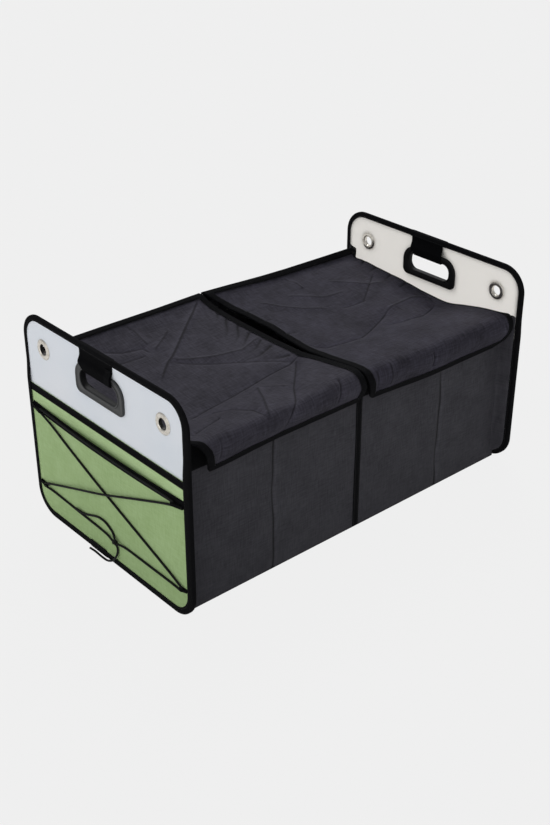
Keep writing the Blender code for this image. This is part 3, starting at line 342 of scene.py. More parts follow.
def make_knot():
    """Overhand knot of the two ends: a doubled cord wound three times round itself."""
    centre = np.array(on_pocket(*KNOT, KNOT_RADIUS - CORD_RADIUS))
    angles = np.linspace(0, 2 * math.pi, 90)
    swing = 0.0020 + 0.0012 * np.cos(3 * angles)
    loop = np.stack([0.0014 * np.sin(3 * angles), swing * np.cos(2 * angles),
                     swing * np.sin(2 * angles)], axis=1)
    return cord_piece("elastic_knot", centre + loop, CORD_RADIUS * 1.05)


dress(make_knot(), "bungee_knot")


# End boards
# Each is a 3 mm sheet of milky polypropylene with a soft gloss, slightly uneven
# in tone, and lightly scuffed by handling.

def board_material(name, dark, light, passing):
    """Milky plastic: pale, a little light passes into it, fine scuffs."""
    made, tree, surface = shader(name, 0.42)
    place = solid_coords(tree)
    tone = tint(tree, blotches(tree, place, 0.12, 2.0), dark, light)
    scuffs = blotches(tree, add(tree, "ShaderNodeMapping", {
        "Vector": place, "Scale": (1.0, 14.0, 1.0), "Rotation": (0.5, 0.0, 0.0)}).outputs[0], 0.05)
    rough = add(tree, "ShaderNodeMapRange", {"Value": scuffs, "To Min": 0.36, "To Max": 0.52})
    fine = blotches(tree, place, 0.0006, 2.0)
    paint(tree, tone, bump(tree, fine, 0.00005, 0.5), rough.outputs["Result"])
    surface.inputs["Subsurface Weight"].default_value = 0.15
    surface.inputs["Subsurface Radius"].default_value = (0.004, 0.004, 0.004)
    surface.inputs["Subsurface Scale"].default_value = 1.0
    through = add(tree, "ShaderNodeBsdfTranslucent", {"Color": colour("#FBF9F6")})
    mixed = add(tree, "ShaderNodeMixShader", {"Fac": passing, 1: surface.outputs[0],
                                              2: through.outputs[0]})
    tree.links.new(mixed.outputs[0], tree.nodes["Material Output"].inputs["Surface"])
    return made


# The far board is seen from inside with the light behind it, so it passes more of it; its colours
# are also painted lighter and warmer than the near board's, as painted light.
coat("near_end_board", board_material("milky_plastic", "#DFE4EB", "#E8EAEF", 0.08))
coat("far_end_board", board_material("milky_plastic_lit", "#F3F1ED", "#F7F5F2", 0.90))


# Eyelets
# Pressed nickel rings through the board at its upper corners, each with a
# washer behind; the rolled crown is bright, and the near barrels' inside is painted shade.

def nickel_material():
    """Nickel plate with fine turning marks and a little tarnish."""
    made, tree, _ = shader("nickel_plate", 0.25, metallic=1.0)
    place = solid_coords(tree)
    tarnish = blotches(tree, place, 0.004)
    rough = add(tree, "ShaderNodeMapRange", {"Value": tarnish, "To Min": 0.20, "To Max": 0.38})
    fine = blotches(tree, place, 0.0005)
    paint(tree, tint(tree, tarnish, "#C4BEB2", "#E3DED6"), bump(tree, fine, 0.00004, 0.4),
          rough.outputs["Result"])
    return made


def barrel_shade_material():
    """Inside of a near eyelet's barrel: nickel painted dark as painted shade in the hole."""
    made, tree, _ = shader("nickel_painted_shade", 0.55, metallic=0.6)
    tarnish = blotches(tree, solid_coords(tree), 0.003)
    paint(tree, tint(tree, tarnish, "#161514", "#2E2C29"))
    return made


NICKEL = nickel_material()
BARREL_PAINTED_SHADE = barrel_shade_material()
HOLE = 0.0075
BARREL = 0.0082
EYELET_Y, EYELET_Z = 0.130, 0.265
RING_STEPS = 64


def turned_piece(name, profile, side, y):
    """Ring turned about a line through the end board; the profile is (radius, depth)."""
    angles = np.arange(RING_STEPS) * 2 * math.pi / RING_STEPS
    profile = rounded_profile(profile)
    count = len(profile)
    verts = [(side * (BOX_END + depth), y + side * radius * math.cos(a),
              EYELET_Z + radius * math.sin(a)) for a in angles for radius, depth in profile]
    faces = []
    for i in range(RING_STEPS):
        k = (i + 1) % RING_STEPS
        faces += [(i * count + j, i * count + (j + 1) % count, k * count + (j + 1) % count,
                   k * count + j) for j in range(count)]
    made = mesh_piece(name, verts, faces, [NICKEL, BARREL_PAINTED_SHADE])
    for face in made.data.polygons:
        spots = [made.data.vertices[v].co for v in face.vertices]
        # Inside faces of the near barrels take the painted shade material.
        inside = side == NEAR and all(math.hypot(p.y - y, p.z - EYELET_Z) < HOLE + 0.0003
                                      for p in spots)
        face.material_index = 1 if inside and abs(face.normal.x) < 0.5 else 0
    return made


def rounded_profile(points):
    """Closed profile with its corners rounded off."""
    steps, radius = 3, 0.0003
    out = []
    for before, here, after in zip(points[-1:] + points[:-1], points, points[1:] + points[:1]):
        here, before, after = map(np.array, (here, before, after))
        back, ahead = before - here, after - here
        reach = min(radius, 0.45 * np.linalg.norm(back), 0.45 * np.linalg.norm(ahead))
        a = here + back / np.linalg.norm(back) * reach
        b = here + ahead / np.linalg.norm(ahead) * reach
        for i in range(steps + 1):
            t = i / steps
            out.append(tuple((1 - t) ** 2 * a + 2 * t * (1 - t) * here + t * t * b))
    return out


for side, prefix in ENDS:
    for place, y in (("front", -EYELET_Y), ("back", EYELET_Y)):
        ring = [(HOLE, -0.0042), (HOLE, 0.0008), (HOLE + 0.0012, 0.0018), (0.0105, 0.0019),
                (0.0128, 0.0014), (0.0145, GAP), (BARREL, GAP), (BARREL, -0.0042)]
        eyelet = turned_piece(f"{prefix}_eyelet_{place}_ring", ring, side, y)
        washer = [(BARREL + GAP, -0.0042), (BARREL + GAP, -0.0033), (0.0132, -0.0033),
                  (0.0127, -0.0041), (0.0100, -0.0046)]
        back = turned_piece(f"{prefix}_eyelet_{place}_washer", washer, side, y)
        dress(eyelet, f"{prefix}_eyelet_{place}")
        dress(back, f"{prefix}_washer_{place}")


# Handles
# A moulded frame is pushed through the board from outside and a ring locks it
# on the inside; both are grey-black plastic with a fine spark-eroded grain. The frame's edges carry
# a painted highlight and its hollows painted shade, and the ring and the hole's wall are painted
# nearly black as painted shade.

GRAIN = 0.0007


def handle_material():
    """Moulded plastic: dark grey, grained, with painted highlight on its edges and painted shade in
    its hollows.
    """
    made, tree, _ = shader("handle_plastic", 0.48)
    place = solid_coords(tree)
    # Pointiness paints a highlight on convex edges and shade in concave hollows.
    edge_highlight_and_hollow_shade = add(tree, "ShaderNodeNewGeometry").outputs["Pointiness"]
    mixed = shares(tree, (blotches(tree, place, 0.01), 0.4), (edge_highlight_and_hollow_shade, 0.7))
    grain = blotches(tree, place, GRAIN)
    paint(tree, tint(tree, mixed, "#1B1C1D", "#2B2D2E", 0.4, 0.75),
          bump(tree, grain, 0.00008, 0.5))
    return made


def handle_shade_material():
    """The locking ring and the hole's wall: the same plastic painted nearly black as painted shade.
    """
    made, tree, _ = shader("handle_plastic_painted_shade", 0.6, specular=0.15)
    grain = blotches(tree, solid_coords(tree), GRAIN)
    paint(tree, tint(tree, grain, "#0B0B0C", "#141415"), bump(tree, grain, 0.00008, 0.5))
    return made


HANDLE = handle_material()
HANDLE_PAINTED_SHADE = handle_shade_material()
HANDLE_Z = 0.2615
# Width, half height, upper and lower corner radius of the frame and of its hand hole.
HANDLE_OUTLINES = {"outer": (0.104, 0.023, 0.022, 0.010), "hole": (0.081, 0.013, 0.0115, 0.0115)}


def round_outline(width, low, high, top_radius, low_radius, steps=14):
    """Rounded rectangle in Y and Z, anticlockwise from the lower right corner."""
    half = width / 2
    points = []
    for y, z, start, radius in ((half, low, -90, low_radius), (half, high, 0, top_radius),
                                (-half, high, 90, top_radius), (-half, low, 180, low_radius)):
        centre_y = y - math.copysign(radius, y)
        centre_z = z + (radius if z == low else -radius)
        for step in range(steps + 1):
            angle = math.radians(start + 90 * step / steps)
            points.append((centre_y + radius * math.cos(angle), centre_z + radius * math.sin(angle)))
    return points


def handle_ring(name, side, loops):
    """Closed ring through loops given as (margin, which outline, depth)."""
    rings = []
    for grow, outline, depth in loops:
        width, half, top_radius, low_radius = HANDLE_OUTLINES[outline]
        points = round_outline(width + 2 * grow, HANDLE_Z - half - grow, HANDLE_Z + half + grow,
                               top_radius + grow, low_radius + grow)
        rings.append([(side * (BOX_END + depth), y, z) for y, z in points])
    count = len(rings[0])
    verts = [point for ring in rings for point in ring]
    faces = []
    for i in range(len(rings)):
        k = (i + 1) % len(rings)
        for j in range(count):
            m = (j + 1) % count
            face = (i * count + j, i * count + m, k * count + m, k * count + j)
            faces.append(face if side > 0 else face[::-1])
    made = mesh_piece(name, verts, faces, [HANDLE, HANDLE_PAINTED_SHADE])
    # The hole's wall inside the board takes the painted shade material.
    walls = [i for i, (_, outline, depth) in enumerate(loops)
             if outline == "hole" and loops[(i + 1) % len(loops)][1] == "hole" and depth < 0.0030]
    for i in walls:
        for j in range(count):
            made.data.polygons[i * count + j].material_index = 1
    return made


for side, prefix in ENDS:
    face = 0.0034
    frame_loops = [(0.0, "outer", GAP), (0.0, "outer", 0.0021), (-0.0004, "outer", 0.0029),
                   (-0.0013, "outer", face), (-0.0022, "outer", face), (-0.0030, "outer", 0.0029),
                   (-0.0060, "outer", 0.0028), (0.0028, "hole", 0.0028), (0.0022, "hole", 0.0032),
                   (0.0010, "hole", 0.0033), (0.0003, "hole", 0.0028), (0.0, "hole", 0.0018),
                   (0.0, "hole", -0.0056), (0.0003, "hole", -0.0059), (0.0017, "hole", -0.0059),
                   (0.0020, "hole", -0.0056), (0.0020, "hole", GAP)]
    moulded = handle_ring(prefix + "_handle_frame_moulded", side, frame_loops)
    ring_loops = [(0.0, "outer", -0.0033), (0.0, "outer", -0.0048), (-0.0004, "outer", -0.0055),
                  (-0.0013, "outer", -0.0059), (0.0035, "hole", -0.0059), (0.0027, "hole", -0.0056),
                  (0.0023, "hole", -0.0050), (0.0023, "hole", -0.0033)]
    lock = handle_ring(prefix + "_handle_ring_moulded", side, ring_loops[::-1])
    # The locking ring is painted nearly black all over, as painted shade.
    lock.data.materials[0] = HANDLE_PAINTED_SHADE
    dress(moulded, prefix + "_handle_frame")
    dress(lock, prefix + "_handle_ring")


# Green facing and pocket
# Woven polyester over the lower part of each end board, flat behind, with a
# pocket in front of it that bags open a little at its taped mouth.

def cloth_material(name, dark, light, weave=0.0007, roughness=0.85, uv=True, specular=0.25,
                   crease_shade_strength=0.0):
    """Plain-woven cloth with slightly uneven yarns; its last argument scales painted shade along its
    creases and painted highlight beside them.
    """
    made, tree, _ = shader(name, roughness, specular=specular)
    if uv:
        place, along, across = cut_coords(tree)
    else:
        place = solid_coords(tree)
        parts = add(tree, "ShaderNodeSeparateXYZ", {"Vector": place})
        along = maths(tree, "ADD", parts.outputs["X"], parts.outputs["Y"])
        across = maths(tree, "ADD", parts.outputs["Z"], maths(tree, "SUBTRACT", parts.outputs["X"],
                                                              parts.outputs["Y"]))
    threads = maths(tree, "MULTIPLY", ribs(tree, along, weave), ribs(tree, across, weave))
    warp, weft = [blotches(tree, add(tree, "ShaderNodeMapping", {
        "Vector": place, "Scale": stretch}).outputs[0], 0.0021)
        for stretch in ((1.0, 0.12, 1.0), (0.12, 1.0, 1.0))]
    cloudy = blotches(tree, place, 0.05, 2.0)
    mixed = shares(tree, (cloudy, 0.30), (weft, 0.35), (warp, 0.35))
    tone = tint(tree, mixed, dark, light, 0.38, 0.62)
    if crease_shade_strength:
        # Painted shade and highlight at the creases, read from a per-point attribute.
        crease_shade = add(tree, "ShaderNodeAttribute", attribute_name="crease_shade").outputs["Fac"]
        share = add(tree, "ShaderNodeMath", {0: crease_shade, 1: crease_shade_strength, 2: 1.0}, operation="MULTIPLY_ADD")
        tone = add(tree, "ShaderNodeVectorMath", {0: tone, "Scale": share.outputs[0]},
                   operation="SCALE").outputs["Vector"]
    paint(tree, tone, bump(tree, threads, 0.0002, 0.6, bump(tree, mixed, 0.0004, 0.35)))
    return made


GREEN = cloth_material("green_polyester", "#92AB74", "#A3BB87")
# The facing's green is painted lighter than the pocket's: painted light, against the shade that the
# pocket's mouth casts on it.
GREEN_PAINTED_LIGHT = cloth_material("green_polyester_painted_light", "#A6BF88", "#B6CE9A", uv=False)
for _, prefix in ENDS:
    coat(prefix + "_facing", GREEN_PAINTED_LIGHT)


def shell_piece(name, middle, square, thickness, cut, material, crease_shade=None):
    """Closed sheet either side of a grid of points, its normals given, with cut coordinates."""
    rows, columns = middle.shape[:2]
    top = middle + square * thickness / 2
    low = middle - square * thickness / 2
    verts = np.vstack([top.reshape(-1, 3), low.reshape(-1, 3)])
    index = np.arange(rows * columns).reshape(rows, columns)
    a, b, c, d = index[:-1, :-1], index[:-1, 1:], index[1:, 1:], index[1:, :-1]
    upper = np.stack([a, b, c, d], axis=-1).reshape(-1, 4)
    under = upper[:, ::-1] + rows * columns
    rim = np.concatenate([index[0, :-1], index[:-1, -1], index[-1, :0:-1], index[:0:-1, 0]])
    after = np.roll(rim, -1)
    edge = np.stack([rim, rim + rows * columns, after + rows * columns, after], axis=-1)
    faces = np.vstack([upper, under, edge])
    first = (top[0, 1] - top[0, 0]), (top[1, 0] - top[0, 0])
    if np.dot(np.cross(*first), square[0, 0]) < 0:
        faces = faces[:, ::-1]
    flat = np.tile(cut.reshape(-1, 2), (2, 1))
    made = mesh_piece(name, verts, faces, [material], flat[faces.ravel()])
    # Painted crease shade, kept per point for the cloth material.
    if crease_shade is not None:
        shade = made.data.attributes.new("crease_shade", "FLOAT", "POINT")
        shade.data.foreach_set("value", np.tile(crease_shade.ravel(), 2).astype(np.float32))
    return made


def grid_normals(grid):
    """Direction square to a grid at each of its points."""
    over = np.gradient(grid, axis=1)
    down = np.gradient(grid, axis=0)
    square = np.cross(over, down)
    return square / np.linalg.norm(square, axis=2)[..., None]


BOARD_HALF, BOARD_FOOT, BOARD_TOP, BOARD_CORNER = 0.177, 0.001, 0.308, 0.037


def board_half_width(z, inset=0.0):
    """Half width of the end board at a height, inside a margin along its edge."""
    beyond = np.maximum(np.maximum(BOARD_FOOT + BOARD_CORNER - z, z - BOARD_TOP + BOARD_CORNER), 0.0)
    corner = np.sqrt(np.maximum((BOARD_CORNER - inset) ** 2 - beyond ** 2, 0.0))
    return BOARD_HALF - BOARD_CORNER + corner


def pocket_sag(y, z):
    """Slack of the pocket's cloth: soft dents between its seams."""
    fade = ease((0.155 - abs(y)) / 0.03) * ease((z - 0.016) / 0.02) * ease((0.168 - z) / 0.02)
    drape = 0.5 * np.sin(37 * y + 21 * z) + 0.5 * np.sin(24 * y - 43 * z + 1.3)
    return fade * 0.00035 * drape


def make_pocket(side, prefix):
    """Pocket cloth, sewn into the edge tape and open at its mouth; the laced one is slack."""
    heights = np.concatenate([np.linspace(0.002, POCKET_FOOT, 6), np.linspace(0.014, 0.166, 44),
                              [0.1675, 0.1695, 0.1715, 0.1735, POCKET_MOUTH]])
    across, z = np.meshgrid(np.linspace(-1, 1, 95), heights)
    y = board_half_width(z) * 0.999 * across
    near_edge = ease((board_half_width(z) - np.abs(y) - 0.0095) / 0.004)
    sag = pocket_sag(y, z) * near_edge * (side == NEAR)
    depth = pocket_depth(y, z) - np.maximum(sag, 0.0)
    middle = np.stack([side * (BOX_END + depth), y, z], axis=-1)
    out = np.zeros_like(middle)
    out[..., 0] = side
    made = shell_piece(prefix + "_pocket_cloth", middle, out, CLOTH, np.stack([y, z], axis=-1),
                       GREEN)
    dress(made, prefix + "_pocket")


for side, prefix in ENDS:
    make_pocket(side, prefix)


# Black tape
# Ribbed polyester tape, folded to between 7 and 10.5 mm, bound round every raw
# edge and sewn down near its inner edge with black thread.

def tape_material(name, pitch=0.0013, dark="#09090A", light="#141416", uv=True, angle="Z"):
    """Grosgrain: fine cross ribs, here coarser than the real 0.8 mm so that they show."""
    made, tree, _ = shader(name, 0.85, specular=0.03)
    if uv:
        place, along, _ = cut_coords(tree)
    else:
        place = solid_coords(tree)
        along = add(tree, "ShaderNodeSeparateXYZ", {"Vector": place}).outputs[angle]
    rib = ribs(tree, along, pitch)
    mixed = shares(tree, (blotches(tree, place, 0.004), 0.5), (rib, 0.5))
    paint(tree, tint(tree, mixed, dark, light), bump(tree, rib, 0.0003, 0.7))
    return made


TAPE_CLOTH = tape_material("grosgrain_tape")
TAPE_X, TAPE_Y, TAPE_Z = [tape_material("grosgrain_tape_along_" + angle.lower(), uv=False,
                                        angle=angle) for angle in "XYZ"]


def thread_material():
    """Twisted polyester sewing thread."""
    made, tree, _ = shader("sewing_thread", 0.6, specular=0.3)
    uneven = blotches(tree, solid_coords(tree), 0.002)
    paint(tree, tint(tree, uneven, "#0C0C0D", "#1A1A1C"))
    return made


THREAD = thread_material()


def stitch_tree():
    """Sets a short thread every few millimetres along each line it is given."""
    tree = bpy.data.node_groups.new("run_of_stitches", "GeometryNodeTree")
    face = tree.interface
    face.new_socket("Lines", in_out="INPUT", socket_type="NodeSocketGeometry")
    for label in ("Pitch", "Stitch length", "Thread radius"):
        face.new_socket(label, in_out="INPUT", socket_type="NodeSocketFloat")
    face.new_socket("Thread", in_out="INPUT", socket_type="NodeSocketMaterial")
    face.new_socket("Stitches", in_out="OUTPUT", socket_type="NodeSocketGeometry")
    given = add(tree, "NodeGroupInput").outputs
    curve = add(tree, "GeometryNodeMeshToCurve", {"Mesh": given["Lines"]}).outputs["Curve"]
    spread = add(tree, "GeometryNodeCurveToPoints", {"Curve": curve, "Length": given["Pitch"]},
                 mode="LENGTH")
    rod = add(tree, "GeometryNodeMeshCylinder", {
        "Vertices": 6, "Side Segments": 2, "Radius": given["Thread radius"],
        "Depth": given["Stitch length"]}, fill_type="TRIANGLE_FAN").outputs["Mesh"]
    placed = add(tree, "GeometryNodeInstanceOnPoints", {"Points": spread.outputs["Points"],
                                                        "Instance": rod})
    turned = add(tree, "FunctionNodeAlignRotationToVector", {
        "Vector": spread.outputs["Tangent"]}, axis="Z").outputs["Rotation"]
    tree.links.new(turned, placed.inputs["Rotation"])
    real = add(tree, "GeometryNodeRealizeInstances", {"Geometry": placed.outputs["Instances"]})
    done = add(tree, "GeometryNodeSetMaterial", {"Geometry": real.outputs["Geometry"],
                                                 "Material": given["Thread"]})
    tree.links.new(done.outputs["Geometry"], add(tree, "NodeGroupOutput").inputs["Stitches"])
    return tree


STITCHES = stitch_tree()


def sew(name, lines, body="box", radius=0.00022):
    """Stitches along lines of points, as one plain mesh that rides on a body."""
    verts, edges = [], []
    for line in lines:
        edges += [(len(verts) + i, len(verts) + i + 1) for i in range(len(line) - 1)]
        verts += [tuple(point) for point in line]
    data = bpy.data.meshes.new(name + "_lines")
    data.from_pydata(verts, edges, [])
    guide = bpy.data.objects.new(name + "_lines", data)
    scene.collection.objects.link(guide)
    nodes = guide.modifiers.new("stitches", "NODES")
    nodes.node_group = STITCHES
    wanted = {"Pitch": 0.0034, "Stitch length": 0.0022, "Thread radius": radius, "Thread": THREAD}
    for item in STITCHES.interface.items_tree:
        if item.in_out == "INPUT" and item.name in wanted:
            nodes[item.identifier] = wanted[item.name]
    evaluated = guide.evaluated_get(bpy.context.evaluated_depsgraph_get())
    mesh = bpy.data.meshes.new_from_object(evaluated)
    mesh.name = name
    made = bpy.data.objects.new(name, mesh)
    scene.collection.objects.link(made)
    bpy.data.objects.remove(guide)
    dress(made, body=body)
    return made


def edge_path():
    """Close-set points round the board's edge and their outward directions, in Y and Z."""
    outline = np.array(round_outline(2 * BOARD_HALF, BOARD_FOOT, BOARD_TOP, BOARD_CORNER,
                                     BOARD_CORNER, 24))
    closed = np.vstack([outline, outline[:1]])
    run, spacing = run_along(closed), 0.0025
    places = np.linspace(0, run[-1], int(run[-1] / spacing), endpoint=False)
    points = np.stack([np.interp(places, run, closed[:, k]) for k in (0, 1)], axis=1)
    straight = BOARD_HALF - BOARD_CORNER
    middle = np.stack([np.clip(points[:, 0], -straight, straight),
                       np.clip(points[:, 1], BOARD_FOOT + BOARD_CORNER, BOARD_TOP - BOARD_CORNER)],
                      axis=1)
    outward = points - middle
    outward /= np.linalg.norm(outward, axis=1)[:, None]
    return points, outward, places


def tape_leg(way):
    """Width of the tape's outer leg, which was turned over unevenly round the board."""
    right, left = max(-way[0], 0.0) ** 2, max(way[0], 0.0) ** 2
    top, low = max(way[1], 0.0) ** 2, max(-way[1], 0.0) ** 2
    return right * 0.0096 + left * 0.0075 + top * 0.0070 + low * 0.0090


def tape_lift(points):
    """How far the tape stands off the board's outer and inner faces at each place."""
    laced = ease((0.238 - points[:, 1]) / 0.034)
    strap = ease((0.0368 - np.abs(points[:, 0] - 0.0055)) / 0.003) * (points[:, 1] > HANDLE_Z)
    return 0.0019 * laced + 0.0013 * strap, 0.0013 * strap


def loft_piece(name, stations, run, material, closed=False):
    """Skin through closed sections; run is each section's place along the tape."""
    stations = np.asarray(stations, float)
    rows, count = stations.shape[:2]
    around = run_along(np.vstack([stations[0], stations[0][:1]]))
    total = run[-1] + (run[1] - run[0])
    faces, cuts = [], []
    for i in range(rows if closed else rows - 1):
        k = (i + 1) % rows
        stop = run[k] if k else total
        for j in range(count):
            m = (j + 1) % count
            faces.append((i * count + j, i * count + m, k * count + m, k * count + j))
            cuts += [(run[i], around[j]), (run[i], around[j + 1]), (stop, around[j + 1]),
                     (stop, around[j])]
    if not closed:
        faces.append(tuple(range(count))[::-1])
        faces.append(tuple((rows - 1) * count + j for j in range(count)))
        cuts += [(0.0, 0.0)] * (2 * count)
    made = mesh_piece(name, stations.reshape(-1, 3), faces, [material], cuts)
    mend_normals(made)
    return made


def mend_normals(piece):
    """Turn the faces of a closed piece outward."""
    work = bmesh.new()
    work.from_mesh(piece.data)
    bmesh.ops.recalc_face_normals(work, faces=work.faces)
    work.to_mesh(piece.data)
    work.free()


# The tape's two ends lap under the near board between these places in Y.
LAP = (0.0115, 0.0480)


def make_edge_tape(side, prefix):
    """Tape folded over the board's edge, puffed between its stitches and its fold."""
    points, outward, run = edge_path()
    out_lift, in_lift = tape_lift(points)
    stations, seams = [], [[], []]
    for place, way, outer, inner, at in zip(points, outward, out_lift, in_lift, run):
        slack = 0.00012 * math.sin(at * 210) + 0.00010 * math.sin(at * 87 + 1)
        outer, inner = outer + GAP, -0.003 - inner - GAP
        leg = tape_leg(way)
        if side == NEAR and place[1] < 0.02 and LAP[0] < place[0] < LAP[1]:
            leg, outer = leg + 0.0022, outer + TAPE
        section = [(-leg, outer), (-leg - 0.0001, outer + 0.0004), (0.0004 - leg, outer + 0.0007),
                   (0.0015 - leg, outer + 0.0007), (0.0021 - leg, outer + 0.0005),
                   (0.0027 - leg, outer + 0.0007), (-0.5 * leg, outer + 0.0008 + slack),
                   (-0.25 * leg, outer + 0.0007 + slack),
                   (-0.0004, outer + 0.0004), (0.0007, outer - 0.0002), (0.0010, outer - 0.0010),
                   (0.0010, inner + 0.0008), (0.0007, inner), (-0.0004, inner - 0.0005),
                   (-0.0020, inner - 0.0007 + slack), (-0.0036, inner - 0.0007 + slack),
                   (-0.0046, inner - 0.0007), (-0.0051, inner - 0.0005), (-0.0056, inner - 0.0007),
                   (-0.0066, inner - 0.0007), (-0.0071, inner - 0.0004), (-0.0070, inner),
                   (GAP, inner), (GAP, outer)]
        stations.append([(side * (BOX_END + depth), place[0] + way[0] * reach,
                          place[1] + way[1] * reach) for reach, depth in section])
        for seam, depth, reach in zip(seams, (outer + 0.00055, inner - 0.00055),
                                      (leg - 0.0021, 0.0051)):
            seam.append((side * (BOX_END + depth), place[0] - way[0] * reach,
                         place[1] - way[1] * reach))
    tape = loft_piece(prefix + "_edge_binding", stations, run, TAPE_CLOTH, closed=True)
    dress(tape, prefix + "_edge_tape")
    sew(prefix + "_edge_stitches", [seam + seam[:1] for seam in seams])


def make_facing_tape(side, prefix):
    """Flat tape across the facing's top edge, its long edges rounded and sewn near both."""
    low, high, depth, lip = 0.192, 0.203, 0.0011, 0.0004
    run = np.linspace(-BOARD_HALF, BOARD_HALF, 60)
    stations = []
    for y in run:
        slack = 0.00008 * math.sin(y * 170 + low * 900)
        section = [(low, depth), (low - 0.0001, depth + 0.5 * TAPE), (low + lip, depth + TAPE),
                   (low + 0.0012, depth + 0.8 * TAPE), (low + 0.0025, depth + TAPE + slack),
                   (high - 0.0025, depth + TAPE + slack), (high - 0.0012, depth + 0.8 * TAPE),
                   (high - lip, depth + TAPE), (high + 0.0001, depth + 0.5 * TAPE),
                   (high, depth)]
        stations.append([(side * (BOX_END + d), y, z) for z, d in section])
    tape = loft_piece(prefix + "_facing_binding", stations, run - run[0], TAPE_CLOTH)
    dress(tape, prefix + "_facing_tape")
    rows = [[(side * (BOX_END + depth + 0.0006), y, z) for y in np.linspace(-0.167, 0.167, 80)]
            for z in (low + 0.0012, high - 0.0012)]
    sew(prefix + "_facing_stitches", rows)


def make_pocket_tape(side, prefix):
    """Tape folded over the pocket's mouth, following its curve."""
    run = np.linspace(-POCKET_HALF, POCKET_HALF, 140)
    low, top = 0.1655, POCKET_MOUTH
    skin = CLOTH / 2 + GAP
    stations, seam = [], []
    for y in run:
        foot, mouth = float(pocket_depth(y, low)), float(pocket_depth(y, top))
        tone = 0.00008 * math.sin(y * 150)
        mid = (foot + mouth) / 2
        section = [(foot + skin, low), (foot + skin + TAPE * 0.6, low - 0.0002),
                   (foot + skin + TAPE, low + 0.0005), (foot + skin + TAPE * 0.8, low + 0.0013),
                   (mid + skin + TAPE + tone, low + 0.0048), (mouth + skin + TAPE, top - 0.0006),
                   (mouth + skin + TAPE * 0.7, top + 0.0006), (mouth + skin - 0.0002, top + 0.001),
                   (mouth - CLOTH / 2, top + 0.001), (mouth - CLOTH / 2, top + GAP),
                   (mouth + skin, top + GAP)]
        stations.append([(side * (BOX_END + depth), y, z) for depth, z in section])
        seam.append((side * (BOX_END + foot + skin + TAPE * 0.8), y, low + 0.0013))
    tape = loft_piece(prefix + "_pocket_binding", stations, run - run[0], TAPE_CLOTH)
    dress(tape, prefix + "_pocket_tape")
    sew(prefix + "_pocket_stitches", [seam])


for side, prefix in ENDS:
    make_edge_tape(side, prefix)
    make_facing_tape(side, prefix)
    make_pocket_tape(side, prefix)


# Grip straps
# A wide ribbed strap is caught under the edge tape and slung round the top bar
# of each handle; a narrow strap is sewn down over its front side edge.

def strap_path(widen=0.0):
    """The strap's middle line as (depth, z), from outside over the bar to the inside."""
    on_board, on_frame = GAP + 0.0005 + widen, 0.0042 + widen
    in_board, in_ring = -0.0038 - widen, -0.0067 - widen
    return [(on_board, 0.3077), (on_board, 0.2950), (on_board + 0.0008, 0.2905),
            (on_frame - 0.0008, 0.2866), (on_frame, 0.2840), (on_frame, 0.2745),
            (on_frame - 0.0002, 0.2738 - widen), (on_frame - 0.0012, 0.2735 - widen),
            (in_ring + 0.0012, 0.2735 - widen), (in_ring + 0.0002, 0.2738 - widen),
            (in_ring, 0.2745), (in_ring, 0.2840), (in_ring + 0.0008, 0.2866),
            (in_board - 0.0008, 0.2905), (in_board, 0.2950), (in_board, 0.3077)]


def strap_piece(name, side, path, span_at, material):
    """Strap that follows a line of (depth, z), as wide as span_at says."""
    line = smooth_points([(depth, z, 0.0) for depth, z in path], 0.0008)
    rows, cut = [], []
    for (depth, z, _), at in zip(line, run_along(line)):
        y = np.linspace(*span_at(z), 36)
        flat = np.ones(len(y))
        rows.append(np.stack([flat * side * (BOX_END + depth), y, flat * z], axis=1))
        cut.append(np.stack([flat * at, y], axis=1))
    middle = np.array(rows)
    made = shell_piece(name, middle, grid_normals(middle), 0.0009, np.array(cut), material)
    mend_normals(made)
    return made


def strap_span(side, z):
    """Right and left edge of a grip strap, drawn in where it passes round the bar."""
    reach = 0.029 + max(z - 0.2741, 0.0) * 1.5
    right, left = (-0.0305, 0.0405) if side == NEAR else (-0.0245, 0.0370)
    return max(right, -reach), min(left, reach)


STRAP_CLOTH = tape_material("ribbed_strap", 0.0016, "#060607", "#0D0D0F")
for side, prefix in ENDS:
    strap = strap_piece(prefix + "_strap_webbing", side, strap_path(),
                        lambda z: strap_span(side, z), STRAP_CLOTH)
    dress(strap, prefix + "_grip_strap")
    edge = strap_piece(prefix + "_strap_edge", side, strap_path(0.0010)[1:6],
                       lambda z: (-0.0290, -0.0180), TAPE_CLOTH)
    dress(edge)
    rows = [[(side * (BOX_END + 0.0053), y, z) for z in np.linspace(0.2750, 0.2840, 8)]
            for y in (-0.0280, -0.0190)]
    sew(prefix + "_strap_stitches", rows, radius=0.00018)


